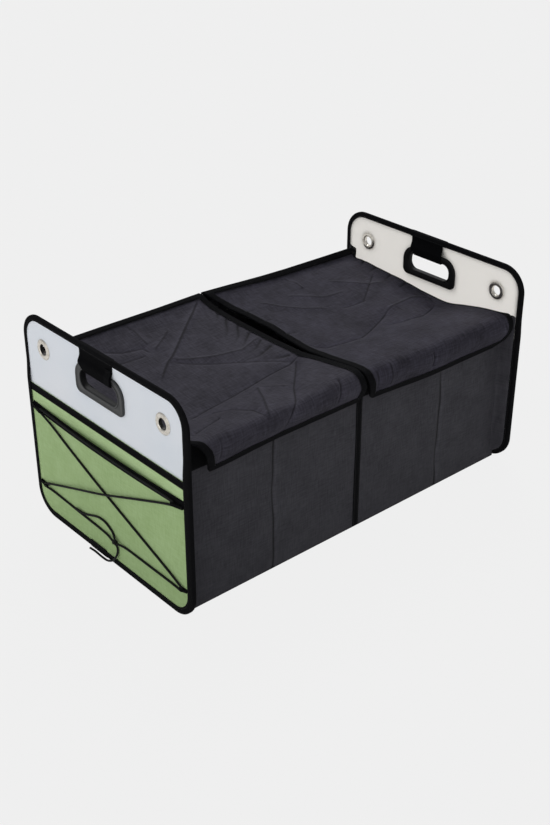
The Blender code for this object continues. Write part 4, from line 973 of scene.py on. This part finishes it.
def make_tab(place_name, centre, lift):
    """Short strap caught in the edge tape and folded round the cord."""
    y, z = centre
    sign = 1 if y > 0 else -1
    tape_inner = sign * 0.1672
    cord_y = y + sign * TURN_REACH
    fold_y = cord_y - sign * (CORD_RADIUS + 0.0018)
    half, thickness, width = 0.0004, 0.0008, 0.0044
    under = CLOTH / 2 + GAP + lift + half
    bow = CORD_RADIUS + GAP + half
    middle, over = under + bow, under + 2 * bow
    near_tape = tape_inner - sign * 0.004
    path = [(tape_inner, under), (near_tape, under), (cord_y, under),
            (fold_y + sign * bow * 0.5, under), (fold_y - sign * bow * 0.3, under + bow * 0.45),
            (fold_y - sign * bow * 0.5, middle), (fold_y - sign * bow * 0.3, over - bow * 0.45),
            (fold_y + sign * bow * 0.5, over), (cord_y, over),
            (near_tape, under + thickness + 2 * GAP + bow * 0.3),
            (tape_inner, under + thickness + GAP)]
    line = smooth_points([(place, rise, 0.0) for place, rise in path], 0.0008)
    rows, cut = [], []
    for (place, rise, _), at in zip(line, run_along(line)):
        high = z + np.linspace(-0.5, 0.5, 10) * width
        depth = pocket_depth(place, high) + rise
        rows.append(np.stack([-(BOX_END + depth), np.full(10, place), high], axis=1))
        cut.append(np.stack([np.full(10, at), high], axis=1))
    grid = np.array(rows)
    made = shell_piece("tab_" + place_name, grid, grid_normals(grid), thickness * 0.9,
                       np.array(cut), TAPE_CLOTH)
    mend_normals(made)
    dress(made, "cord_tab_" + place_name)


for place_name, centre, lift in (("front_low", FRONT_LOW, 0.0), ("back_low", BACK_LOW, 0.0),
                                 ("front_high", FRONT_HIGH, ON_TAPE),
                                 ("back_high", BACK_HIGH, ON_TAPE)):
    make_tab(place_name, centre, lift)


# Fabric body
# Charcoal polyester walls with a stiff board sewn inside, a fold line down the
# middle of each, a wide black band along the front rim and tape on the others.

CHARCOAL = cloth_material("charcoal_polyester", "#2C2B30", "#3C3B40", weave=0.0008, crease_shade_strength=0.9)
CHARCOAL_FLAT = cloth_material("charcoal_polyester_flat", "#29282C", "#323136", weave=0.0008,
                               uv=False)
DIVIDER_X = 0.002
BODY_END = 0.2942
FLARE = 0.0065
WALL_LOW = 0.0015
WALL_OUT = 0.1505
WALL_THICK = 0.0022


def wall_out(x, z, crease_x):
    """Distance of a wall's middle surface from the box's middle plane."""
    margin = WALL_THICK / 2 + 2 * GAP
    edge = np.maximum(board_half_width(z, 0.0062) - margin, WALL_OUT)
    flare = ease((np.abs(x) - (BODY_END - FLARE)) / FLARE)
    crease = np.maximum(1 - np.abs(x - crease_x) / 0.0045, 0.0)
    return WALL_OUT + (edge - WALL_OUT) * flare - 0.0014 * crease


def rim_sag(x):
    """How far the back rim stands above or below its plain height, by the place along it."""
    places = [-0.290, -0.200, -0.100, -0.020, 0.030, 0.090, 0.140, 0.210, 0.290]
    heights = [-0.0018, -0.0008, -0.0005, 0.0010, -0.0012, -0.0043, -0.0058, -0.0064, -0.0066]
    return np.interp(x, places, heights)


def wall_ripple(x, z, top, seed):
    """Slack of the wall's cloth over its board, least at the rim and the ends."""
    fade = ease((top - 0.038 - z) / 0.03) * ease((z - 0.004) / 0.02)
    fade = fade * ease((BODY_END - 0.012 - np.abs(x)) / 0.03)
    wave = np.sin(31 * x + 17 * z + seed) * np.sin(13 * x - 29 * z + 2 * seed)
    fine = np.sin(95 * x + 22 * z + 3 * seed) * np.sin(61 * z - 15 * x)
    return fade * (0.00045 * wave + 0.00012 * fine)


def make_wall(place, half_name, x_from, x_to, crease_x, top, seed):
    """Half of the front or back wall: cloth over a board, with its fold line pressed in."""
    sign = -1 if place == "front" else 1
    heights = np.concatenate([np.linspace(WALL_LOW, 0.045, 18), np.linspace(0.048, top, 46)])
    inner = x_from if abs(x_from) < abs(x_to) else x_to
    outer = x_to if abs(x_from) < abs(x_to) else x_from
    side = math.copysign(1, outer)
    columns = np.concatenate([np.linspace(inner, crease_x - side * 0.0045, 40),
                              crease_x + side * np.linspace(-0.0038, 0.0070, 17),
                              np.linspace(crease_x + side * 0.0080, side * (BODY_END - FLARE), 36),
                              side * (BODY_END - FLARE + FLARE * np.linspace(0.15, 1.0, 7))])
    x, z = np.meshgrid(np.sort(columns), heights)
    y = sign * (wall_out(x, z, crease_x) + wall_ripple(x, z, top, seed))
    if place == "back":
        z = z + rim_sag(x) * ease((z - 0.200) / (top - 0.200))
    middle = np.stack([x, y, z], axis=-1)
    out = np.zeros_like(middle)
    out[..., 1] = sign
    # Painted shade: a dark line down the pressed fold line, with a painted highlight band just
    # beside it.
    bend = crease_x + 0.0012 * np.sin(z * 41 + seed) + 0.0006 * np.sin(z * 97)
    crease_shade = 0.25 * np.exp(-(np.abs(x - bend - 0.004) / 0.003) ** 2)
    crease_shade -= np.exp(-(np.abs(x - bend) / 0.0013) ** 2)
    made = shell_piece(f"{place}_cloth_{half_name}", middle, out, WALL_THICK,
                       np.stack([x, z], axis=-1), CHARCOAL, crease_shade)
    mend_normals(made)
    dress(made, f"{place}_wall_{half_name}")


def make_back_rim(half_name, x_from, x_to, crease_x):
    """Tape folded over the back wall's top edge, as uneven along it as the rim is."""
    stations, seams = [], [[], []]
    run = np.linspace(x_from, x_to, 110)
    for x in run:
        middle = float(wall_out(np.array(x), np.array(BACK_TOP - 0.004), crease_x))
        top = BACK_TOP + float(rim_sag(x)) + GAP
        skin = WALL_THICK / 2 + GAP
        slack = 0.0001 * math.sin(x * 190)
        section = [(skin, -0.0100), (skin + TAPE * 0.7, -0.0102), (skin + TAPE, -0.0095),
                   (skin + TAPE * 0.8, -0.0080), (skin + TAPE + slack, -0.0050),
                   (skin + TAPE, -0.0006), (skin * 0.7, TAPE), (-skin * 0.7, TAPE),
                   (-skin - TAPE, -0.0006), (-skin - TAPE + slack, -0.0050),
                   (-skin - TAPE * 0.8, -0.0080), (-skin - TAPE, -0.0095),
                   (-skin - TAPE * 0.7, -0.0102), (-skin, -0.0100), (-skin, 0.0), (skin, 0.0)]
        stations.append([(x, middle + out, top + rise) for out, rise in section])
        for seam, out in zip(seams, (skin + TAPE * 0.8, -skin - TAPE * 0.8)):
            seam.append((x, middle + out, top - 0.0080))
    tape = loft_piece("back_rim_binding_" + half_name, stations, run - run[0], TAPE_CLOTH)
    dress(tape, "back_rim_tape_" + half_name)
    sew("back_rim_stitches_" + half_name, seams)


FRONT_TOP, BACK_TOP = 0.2365, 0.2545
for half_name, x_from, x_to, crease_x in (("left", -BODY_END, DIVIDER_X - GAP, -0.148),
                                          ("right", DIVIDER_X + GAP, BODY_END, 0.1635)):
    for place, top, seed in (("front", FRONT_TOP, 1.0), ("back", BACK_TOP, 2.0)):
        make_wall(place, half_name, x_from, x_to, crease_x, top, seed + crease_x * 9)
    make_back_rim(half_name, x_from, x_to, crease_x)
    coat("front_band_" + half_name, TAPE_X)
    coat("base_board_" + half_name, CHARCOAL_FLAT)

coat("divider", CHARCOAL_FLAT)
coat("divider_tape", TAPE_Y)
coat("floor_fabric", CHARCOAL_FLAT)
for place, y, top in (("front", -0.1526, 0.200), ("back", 0.1526, 0.242)):
    coat(place + "_seam_tape", TAPE_Z)
    sew(place + "_seam_stitches", [[(DIVIDER_X + dx, y, z) for z in np.linspace(0.004, top, 60)]
                                   for dx in (-0.0035, 0.0035)])


# Lids
# Two soft charcoal covers, sewn to the back rim and bound with tape. They have
# been folded and sag between the rims, so sharp old creases fan across them,
# and their front lips hang over the band.

# Profile of each lid in millimetres, Y then Z, from the back rim to the lip's end,
# on lines at shares of the way from its end board to the divider. Every line is
# sampled at equal shares of its own length, and the cloth runs between the lines.
BACK_STEP = [(152.2, 257.5), (146.0, 257.0), (140.0, 253.5), (131.0, 248.5)]
LEFT_LINES = {
    0.0: BACK_STEP + [(110, 241.0), (50, 231.5), (-20, 225.0), (-62, 222.5), (-95, 229.0),
                      (-130, 238.0), (-152, 243.0), (-163.5, 243.0), (-169.5, 236.5),
                      (-171, 223), (-161, 199)],
    0.5: BACK_STEP + [(110, 241.0), (50, 231.5), (-20, 226.0), (-62, 226.0), (-95, 232.5),
                      (-130, 240.0), (-152, 244.0), (-163.5, 243.5), (-169.5, 236.5),
                      (-171, 225), (-161, 204.5)],
    1.0: BACK_STEP + [(110, 242.0), (50, 236.0), (-20, 234.0), (-58, 235.0), (-95, 240.5),
                      (-130, 245.5), (-152, 248.0), (-162.0, 246.5), (-168.0, 239.5),
                      (-170, 227), (-161, 205.5)]}
RIGHT_LINES = {
    0.0: [(152.2, 257.5), (149.5, 252.5), (146, 245.5), (139, 241.0), (118, 238.5), (84, 235.4),
          (40, 232.2), (-2, 228.0), (-53, 225.0), (-92, 233.0), (-120, 238.8), (-148, 242.4),
          (-162.5, 242.0), (-169.0, 235.0), (-171, 221), (-161, 198)],
    0.5: [(152.2, 257.5), (147.5, 254.0), (142, 248.5), (134, 243.5), (110, 238.0), (50, 231.0),
          (0, 227.0), (-40, 228.0), (-85, 236.0), (-120, 240.0), (-147, 243.0), (-162.5, 242.5),
          (-169.0, 235.5), (-171, 222), (-161, 197)],
    1.0: BACK_STEP + [(110, 241.5), (50, 236.0), (0, 234.5), (-50, 236.0), (-85, 240.0),
                      (-120, 244.0), (-147, 247.0), (-161.5, 246.0), (-168.0, 239.0),
                      (-170, 226), (-161, 202)]}

# Creases in the cut cloth, in millimetres: x, then distance from the back edge. Each has
# a height, negative for a valley, and a width over which the cloth lifts towards it.
LEFT_CREASES = [
    (2.6, 9, [(-35, 10), (-84, 51), (-150, 105), (-162, 112), (-195, 142)]),
    (1.3, 8, [(-114, 47), (-135, 62), (-156, 75)]),
    (-1.4, 7, [(-219, 41), (-197, 55), (-168, 61), (-163, 77)]),
    (-1.2, 7, [(-234, 72), (-203, 76), (-175, 78)]),
    (1.0, 8, [(-164, 11), (-157, 25), (-158, 59)]),
    (1.4, 8, [(-153, 109), (-99, 137), (-64, 148), (-42, 142), (-24, 135)]),
    (-1.2, 9, [(-156, 113), (-114, 145), (-60, 185), (-27, 212)]),
    (-3.6, 14, [(-236, 238), (-220, 234), (-161, 225), (-95, 217), (-14, 211)]),
    (-1.8, 8, [(-225, 246), (-198, 252), (-179, 269), (-169, 297), (-172, 324)]),
    (-1.6, 5, [(-258, 291), (-232, 285), (-207, 279)]),
    (-2.4, 9, [(-26, 215), (-90, 283), (-142, 351)]),
    (1.6, 8, [(-118, 244), (-142, 286), (-169, 328)]),
    (1.2, 6, [(-118, 244), (-107, 261), (-91, 278)]),
    (-1.8, 5, [(-43, 316), (-52, 350)]),
    (-1.0, 5, [(-244, 332), (-245, 350)]),
    (-1.2, 5, [(-272, 225), (-258, 262), (-262, 300)]),
]
RIGHT_CREASES = [
    (1.5, 9, [(46, 56), (65, 83), (86, 103), (119, 121)]),
    (1.3, 7, [(127, 14), (133, 32), (131, 56)]),
    (-1.4, 8, [(143, 128), (185, 131), (229, 100), (258, 79)]),
    (-3.4, 13, [(13, 196), (33, 215), (94, 218), (143, 195), (193, 174)]),
    (-2.6, 10, [(149, 206), (178, 217), (217, 220), (259, 206)]),
    (1.8, 9, [(193, 174), (246, 172), (273, 189)]),
    (-1.6, 6, [(275, 155), (272, 177), (267, 198)]),
    (-1.6, 4, [(126, 330), (126, 355)]),
    (-1.4, 5, [(18, 328), (20, 359)]),
    (1.2, 5, [(42, 323), (40, 356)]),
    (1.5, 6, [(271, 336), (280, 367)]),
    (1.2, 8, [(180, 60), (215, 92), (246, 110)]),
    (1.2, 9, [(95, 60), (140, 92), (180, 96)]),
]
LEFT_GATHERS = [[(-21, 39), (-41, 66)], [(-27, 66), (-44, 91), (-64, 111)],
                [(-25, 90), (-41, 112), (-63, 129)], [(-26, 116), (-51, 136), (-67, 145)],
                [(-26, 142), (-46, 155), (-66, 160)], [(-26, 163), (-54, 172), (-88, 166)],
                [(-24, 199), (-40, 192), (-57, 181)]]
RIGHT_GATHERS = [[(6, 62), (30, 70)], [(8, 100), (32, 106)], [(12, 150), (36, 158)],
                 [(276, 40), (258, 50)], [(276, 66), (252, 72)], [(276, 98), (250, 108)],
                 [(276, 130), (252, 138)]]
# The ends' outlines: distance from the lip's end, then how far the cloth is cut back.
LEFT_END_CUT = [(0.0, 0.0300), (0.004, 0.0270), (0.012, 0.0245), (0.020, 0.0215), (0.035, 0.0170),
                (0.048, 0.009), (0.056, 0.0)]
RIGHT_END_CUT = [(0.0, 0.030), (0.004, 0.017), (0.010, 0.009), (0.020, 0.003), (0.034, 0.0)]
# The edges along the slit between the lids, in millimetres: distance from the back edge, x.
LEFT_SLIT = [(0, -26.0), (11, -24.0), (40, -16.5), (72, -14.0), (103, -12.0), (160, -10.0),
             (200, -8.5), (230, -7.5), (262, -8.0), (302, -8.0), (322, -9.0), (345, -5.0),
             (360, -7.0), (370, -10.0)]
RIGHT_SLIT = [(0, -21.0), (8, -17.0), (34, -3.5), (68, 4.0), (124, 8.5), (187, 1.5), (223, -3.0),
              (255, -5.0), (290, -4.5), (320, -4.5), (340, 1.0), (358, 7.0), (372, 10.0)]
MIDDLE_CUT = [(0.0, 0.006), (0.004, 0.0015), (0.010, 0.0)]
LID_THICK = 0.0012
LID_TAPE = 0.010
LID_END = 0.2864
END_ROLL = 0.0105
ROLL_RADIUS = 0.0070


def profile(points, share):
    """Points at shares of the length of a smooth line through (y, z) in millimetres."""
    line = smooth_points([(y / 1000, z / 1000, 0.0) for y, z in points], 0.0005)
    run = run_along(line)
    places = share * run[-1]
    return np.stack([np.interp(places, run, line[:, k]) for k in (0, 1)], axis=1), run[-1]


def polyline_distance(x, d, points):
    """Distance of each place to a line, and how far along the line it is, from 0 to 1."""
    best = np.full(x.shape, 1e9)
    along = np.zeros(x.shape)
    points = np.array(points, float)
    run = run_along(points)
    for i, (a, b) in enumerate(zip(points, points[1:])):
        way = b - a
        t = np.clip(((x - a[0]) * way[0] + (d - a[1]) * way[1]) / way.dot(way), 0, 1)
        gap = np.hypot(x - a[0] - t * way[0], d - a[1] - t * way[1])
        closer = gap < best
        best = np.where(closer, gap, best)
        along = np.where(closer, (run[i] + t * (run[i + 1] - run[i])) / run[-1], along)
    return best, along


def crease_lift(x, d, creases, gathers):
    """Height of the folds over the cloth, in metres, and the painted shade along them with painted
    highlight beside them, from -1 to 1.
    """
    lift = np.zeros(x.shape)
    crease_shade = np.zeros(x.shape)
    for height, width, line in creases:
        gap, along = polyline_distance(x, d, line)
        fade = ease((along + 0.06) / 0.16) * ease((1.06 - along) / 0.16)
        lift += 2.1 * height * np.exp(-gap / (0.85 * width)) * fade
        # Painted shade along each crease, with a painted highlight either side.
        deep = min(0.35 + 0.25 * abs(height), 1.0) * fade
        crease_shade += deep * (0.36 * np.exp(-(gap / 6) ** 2) - 1.15 * np.exp(-(gap / 1.5) ** 2))
    for line in gathers:
        gap, along = polyline_distance(x, d, line)
        lift += -2.2 * np.exp(-(gap / 3.5) ** 2) * (1 - along)
        # Painted shade along each gather.
        crease_shade -= 0.9 * np.exp(-(gap / 2.0) ** 2) * (1 - along)
    slow = (np.sin(0.021 * x + 0.034 * d + 0.7) * np.sin(0.043 * x - 0.018 * d)
            + 0.5 * np.sin(0.081 * x + 0.05 * d) * np.sin(0.06 * d - 0.033 * x + 2))
    return (lift + 0.55 * slow) / 1000, np.clip(crease_shade, -1.0, 1.0)


def upward_normals(grid):
    """Direction square to a lid's grid, on its upper side."""
    square = grid_normals(grid)
    return -square if square[40, 40, 2] < 0 else square


def make_lid(name, end_x, slit, lines, creases, gathers, end_cut, cloth):
    """Lid cloth draped through its measured lines, with its folds, its tape and its stitches."""
    sign = 1 if end_x < 0 else -1
    width = max(abs(x / 1000 - end_x) for _, x in slit)
    length = float(np.mean([profile(points, np.array([0.0, 1.0]))[1]
                            for points in lines.values()]))
    band = np.linspace(0, LID_TAPE, 5)
    across = np.concatenate([band, np.linspace(LID_TAPE, width - LID_TAPE, 162)[1:-1],
                             width - band[::-1]]) / width
    down = np.concatenate([band, np.linspace(LID_TAPE, length - LID_TAPE, 232)[1:-1],
                           length - band[::-1]]) / length
    outer, middle, inner = [profile(points, down)[0] for points in lines.values()]
    towards = ease(1 - np.abs(across - 0.5) / 0.5)
    near = np.where(across < 0.5, 1 - towards, 0.0)
    far = np.where(across >= 0.5, 1 - towards, 0.0)
    yz = (outer[:, None] * near[None, :, None] + middle[:, None] * towards[None, :, None]
          + inner[:, None] * far[None, :, None])
    rest = (1 - down) * length
    cut_end = np.interp(rest, *zip(*end_cut))
    cut_middle = np.interp(rest, *zip(*MIDDLE_CUT))
    start = end_x + sign * cut_end
    stop = np.interp(down * length * 1000, *zip(*slit)) / 1000 - sign * cut_middle
    x = start[:, None] + (stop - start)[:, None] * across[None, :]
    grid = np.concatenate([x[..., None], yz], axis=-1)
    d = np.repeat(down[:, None] * length, len(across), axis=1)
    grid[..., 2] += rim_sag(x) * ease((0.045 - d) / 0.045)
    turned = np.maximum(END_ROLL * (sign < 0) - np.abs(x - end_x), 0.0) * ease((0.340 - d) / 0.04)
    angle = turned / ROLL_RADIUS
    grid[..., 0] -= sign * (ROLL_RADIUS * np.sin(angle) - turned)
    grid[..., 2] -= ROLL_RADIUS * (1 - np.cos(angle))
    fade = ease((d - 0.020) / 0.02) * ease((length - d) / 0.012 + 0.2)
    edge = np.minimum(np.abs(x - end_x), np.abs(x - stop[:, None]))
    fade = fade * (0.35 + 0.65 * ease(edge / 0.03))
    lift, crease_shade = crease_lift(x * 1000, d * 1000, creases, gathers)
    grid = grid + upward_normals(grid) * (lift * fade)[..., None]
    square = upward_normals(grid)
    cut = np.stack([x, d], axis=-1)
    lid = shell_piece(name + "_cloth", grid, square, LID_THICK, cut, cloth, crease_shade)
    mend_normals(lid)
    dress(lid, name, name)
    tape = lid_tape(name + "_binding", grid, square, cut)
    dress(tape, name + "_tape", name)
    seams = []
    for away in (1, -1):
        face = grid + square * away * (LID_THICK / 2 + GAP + TAPE)
        seams += [face[4:-4, 4], face[4:-4, -5], face[4, 4:-4], face[-5, 4:-4]]
    thread = sew(name + "_stitches", seams, name)


def lid_tape(name, grid, square, cut):
    """Tape folded round all four edges of a lid, four cells of its grid wide."""
    rows, columns = grid.shape[:2]
    wide = 4
    reach = {"top": 0.0016, "over": 0.0009, "under": -0.0009, "bottom": -0.0016,
             "high": 0.0010, "low": -0.0010}
    index = {}
    verts, faces, cuts = [], [], []
    sideways = np.zeros_like(grid)
    for i in range(rows):
        for j in range(columns):
            if i in (0, rows - 1) or j in (0, columns - 1):
                inside = grid[min(max(i, 1), rows - 2), min(max(j, 1), columns - 2)]
                away = grid[i, j] - inside
                away -= square[i, j] * away.dot(square[i, j])
                sideways[i, j] = away / np.linalg.norm(away)

    def vert(layer, i, j):
        """Number of the tape's point over a grid point, on one of its layers."""
        if (layer, i, j) not in index:
            out = 0.0010 if layer in ("high", "low") else GAP
            index[(layer, i, j)] = len(verts)
            verts.append(grid[i, j] + square[i, j] * reach[layer] + sideways[i, j] * out)
        return index[(layer, i, j)]

    def taped(i, j):
        """Whether the tape covers a cell of the grid."""
        return i < wide or i >= rows - 1 - wide or j < wide or j >= columns - 1 - wide

    sides = {}
    for i in range(rows - 1):
        for j in range(columns - 1):
            if not taped(i, j):
                continue
            cell = [(i, j), (i, j + 1), (i + 1, j + 1), (i + 1, j)]
            upright = wide <= i < rows - 1 - wide
            places = [cut[a, b][::-1] if upright else cut[a, b] for a, b in cell]
            for layer in ("top", "over", "under", "bottom"):
                faces.append([vert(layer, *place) for place in cell])
                cuts += places
            for a, b in zip(range(4), (1, 2, 3, 0)):
                key = frozenset((cell[a], cell[b]))
                sides.setdefault(key, []).append((cell[a], cell[b], places[a], places[b]))
    rim = {(i, j) for i in range(rows) for j in range(columns)
           if i in (0, rows - 1) or j in (0, columns - 1)}
    for uses in sides.values():
        if len(uses) != 1:
            continue
        start, stop, start_cut, stop_cut = uses[0]
        chain = [("top", "over"), ("under", "bottom")]
        if start in rim and stop in rim:
            chain = [("top", "high"), ("high", "low"), ("low", "bottom"), ("over", "under")]
        for upper_layer, lower_layer in chain:
            faces.append([vert(upper_layer, *start), vert(upper_layer, *stop),
                          vert(lower_layer, *stop), vert(lower_layer, *start)])
            cuts += [start_cut, stop_cut, stop_cut, start_cut]
    made = mesh_piece(name, verts, faces, [TAPE_CLOTH], cuts)
    mend_normals(made)
    return made


# The right lid has slightly darker colours than the left: painted shade, since its cloth faces the
# lamp more.
LEFT_CLOTH = cloth_material("charcoal_polyester_left_lid", "#222027", "#393740", weave=0.0008,
                            roughness=0.8, specular=0.14, crease_shade_strength=0.95)
RIGHT_CLOTH = cloth_material("charcoal_polyester_right_lid", "#201E25", "#37353F", weave=0.0008,
                             roughness=0.8, specular=0.12, crease_shade_strength=0.95)
make_lid("left_lid", -LID_END, LEFT_SLIT, LEFT_LINES, LEFT_CREASES, LEFT_GATHERS, LEFT_END_CUT,
         LEFT_CLOTH)
make_lid("right_lid", LID_END, RIGHT_SLIT, RIGHT_LINES, RIGHT_CREASES, RIGHT_GATHERS,
         RIGHT_END_CUT, RIGHT_CLOTH)


# Floor, sky and lamps
# The photograph was taken on a pale seamless floor in soft light from above
# and behind, so the floor keeps only a weak shadow.

def floor_material():
    """Pale studio floor: mostly an even tone, with a weak shadow."""
    made, tree, surface = shader("studio_floor", 0.9)
    surface.inputs["Base Color"].default_value = colour("#EFEFEF")
    even = add(tree, "ShaderNodeEmission", {"Color": colour("#EFEFEF"), "Strength": 1.0})
    soft = add(tree, "ShaderNodeMixShader", {"Fac": 0.985, 1: surface.outputs[0],
                                             2: even.outputs[0]})
    ray = add(tree, "ShaderNodeLightPath")
    seen = maths(tree, "ADD", ray.outputs["Is Camera Ray"],
                 maths(tree, "ADD", ray.outputs["Is Glossy Ray"],
                       ray.outputs["Is Transmission Ray"]))
    whole = add(tree, "ShaderNodeMixShader", {"Fac": maths(tree, "MINIMUM", seen, 1.0),
                                              1: surface.outputs[0], 2: soft.outputs[0]})
    tree.links.new(whole.outputs[0], tree.nodes["Material Output"].inputs["Surface"])
    return made


floor_mesh = bpy.data.meshes.new("studio_floor")
floor_mesh.from_pydata([(-40, -40, 0), (40, -40, 0), (40, 40, 0), (-40, 40, 0)], [], [(0, 1, 2, 3)])
floor_mesh.materials.append(floor_material())
floor = bpy.data.objects.new("studio_floor", floor_mesh)
scene.collection.objects.link(floor)

world = bpy.data.worlds.new("studio")
world.use_nodes = True
scene.world = world
sky = world.node_tree.nodes["Background"]
sky.inputs["Color"].default_value = colour("#F4F6F8")
sky.inputs["Strength"].default_value = 0.52


def sun(name, strength, spread, tilt, heading):
    """Far soft lamp; tilt is from straight down and heading is where it shines from."""
    data = bpy.data.lights.new(name, "SUN")
    data.energy = strength
    data.angle = math.radians(spread)
    lamp = bpy.data.objects.new(name, data)
    lamp.rotation_euler = (math.radians(tilt), 0.0, math.radians(heading + 90))
    scene.collection.objects.link(lamp)


sun("overhead_soft_box", 1.72, 22, 40, 50)
sun("front_fill", 0.78, 60, 60, 200)

scene.view_settings.view_transform = "Standard"
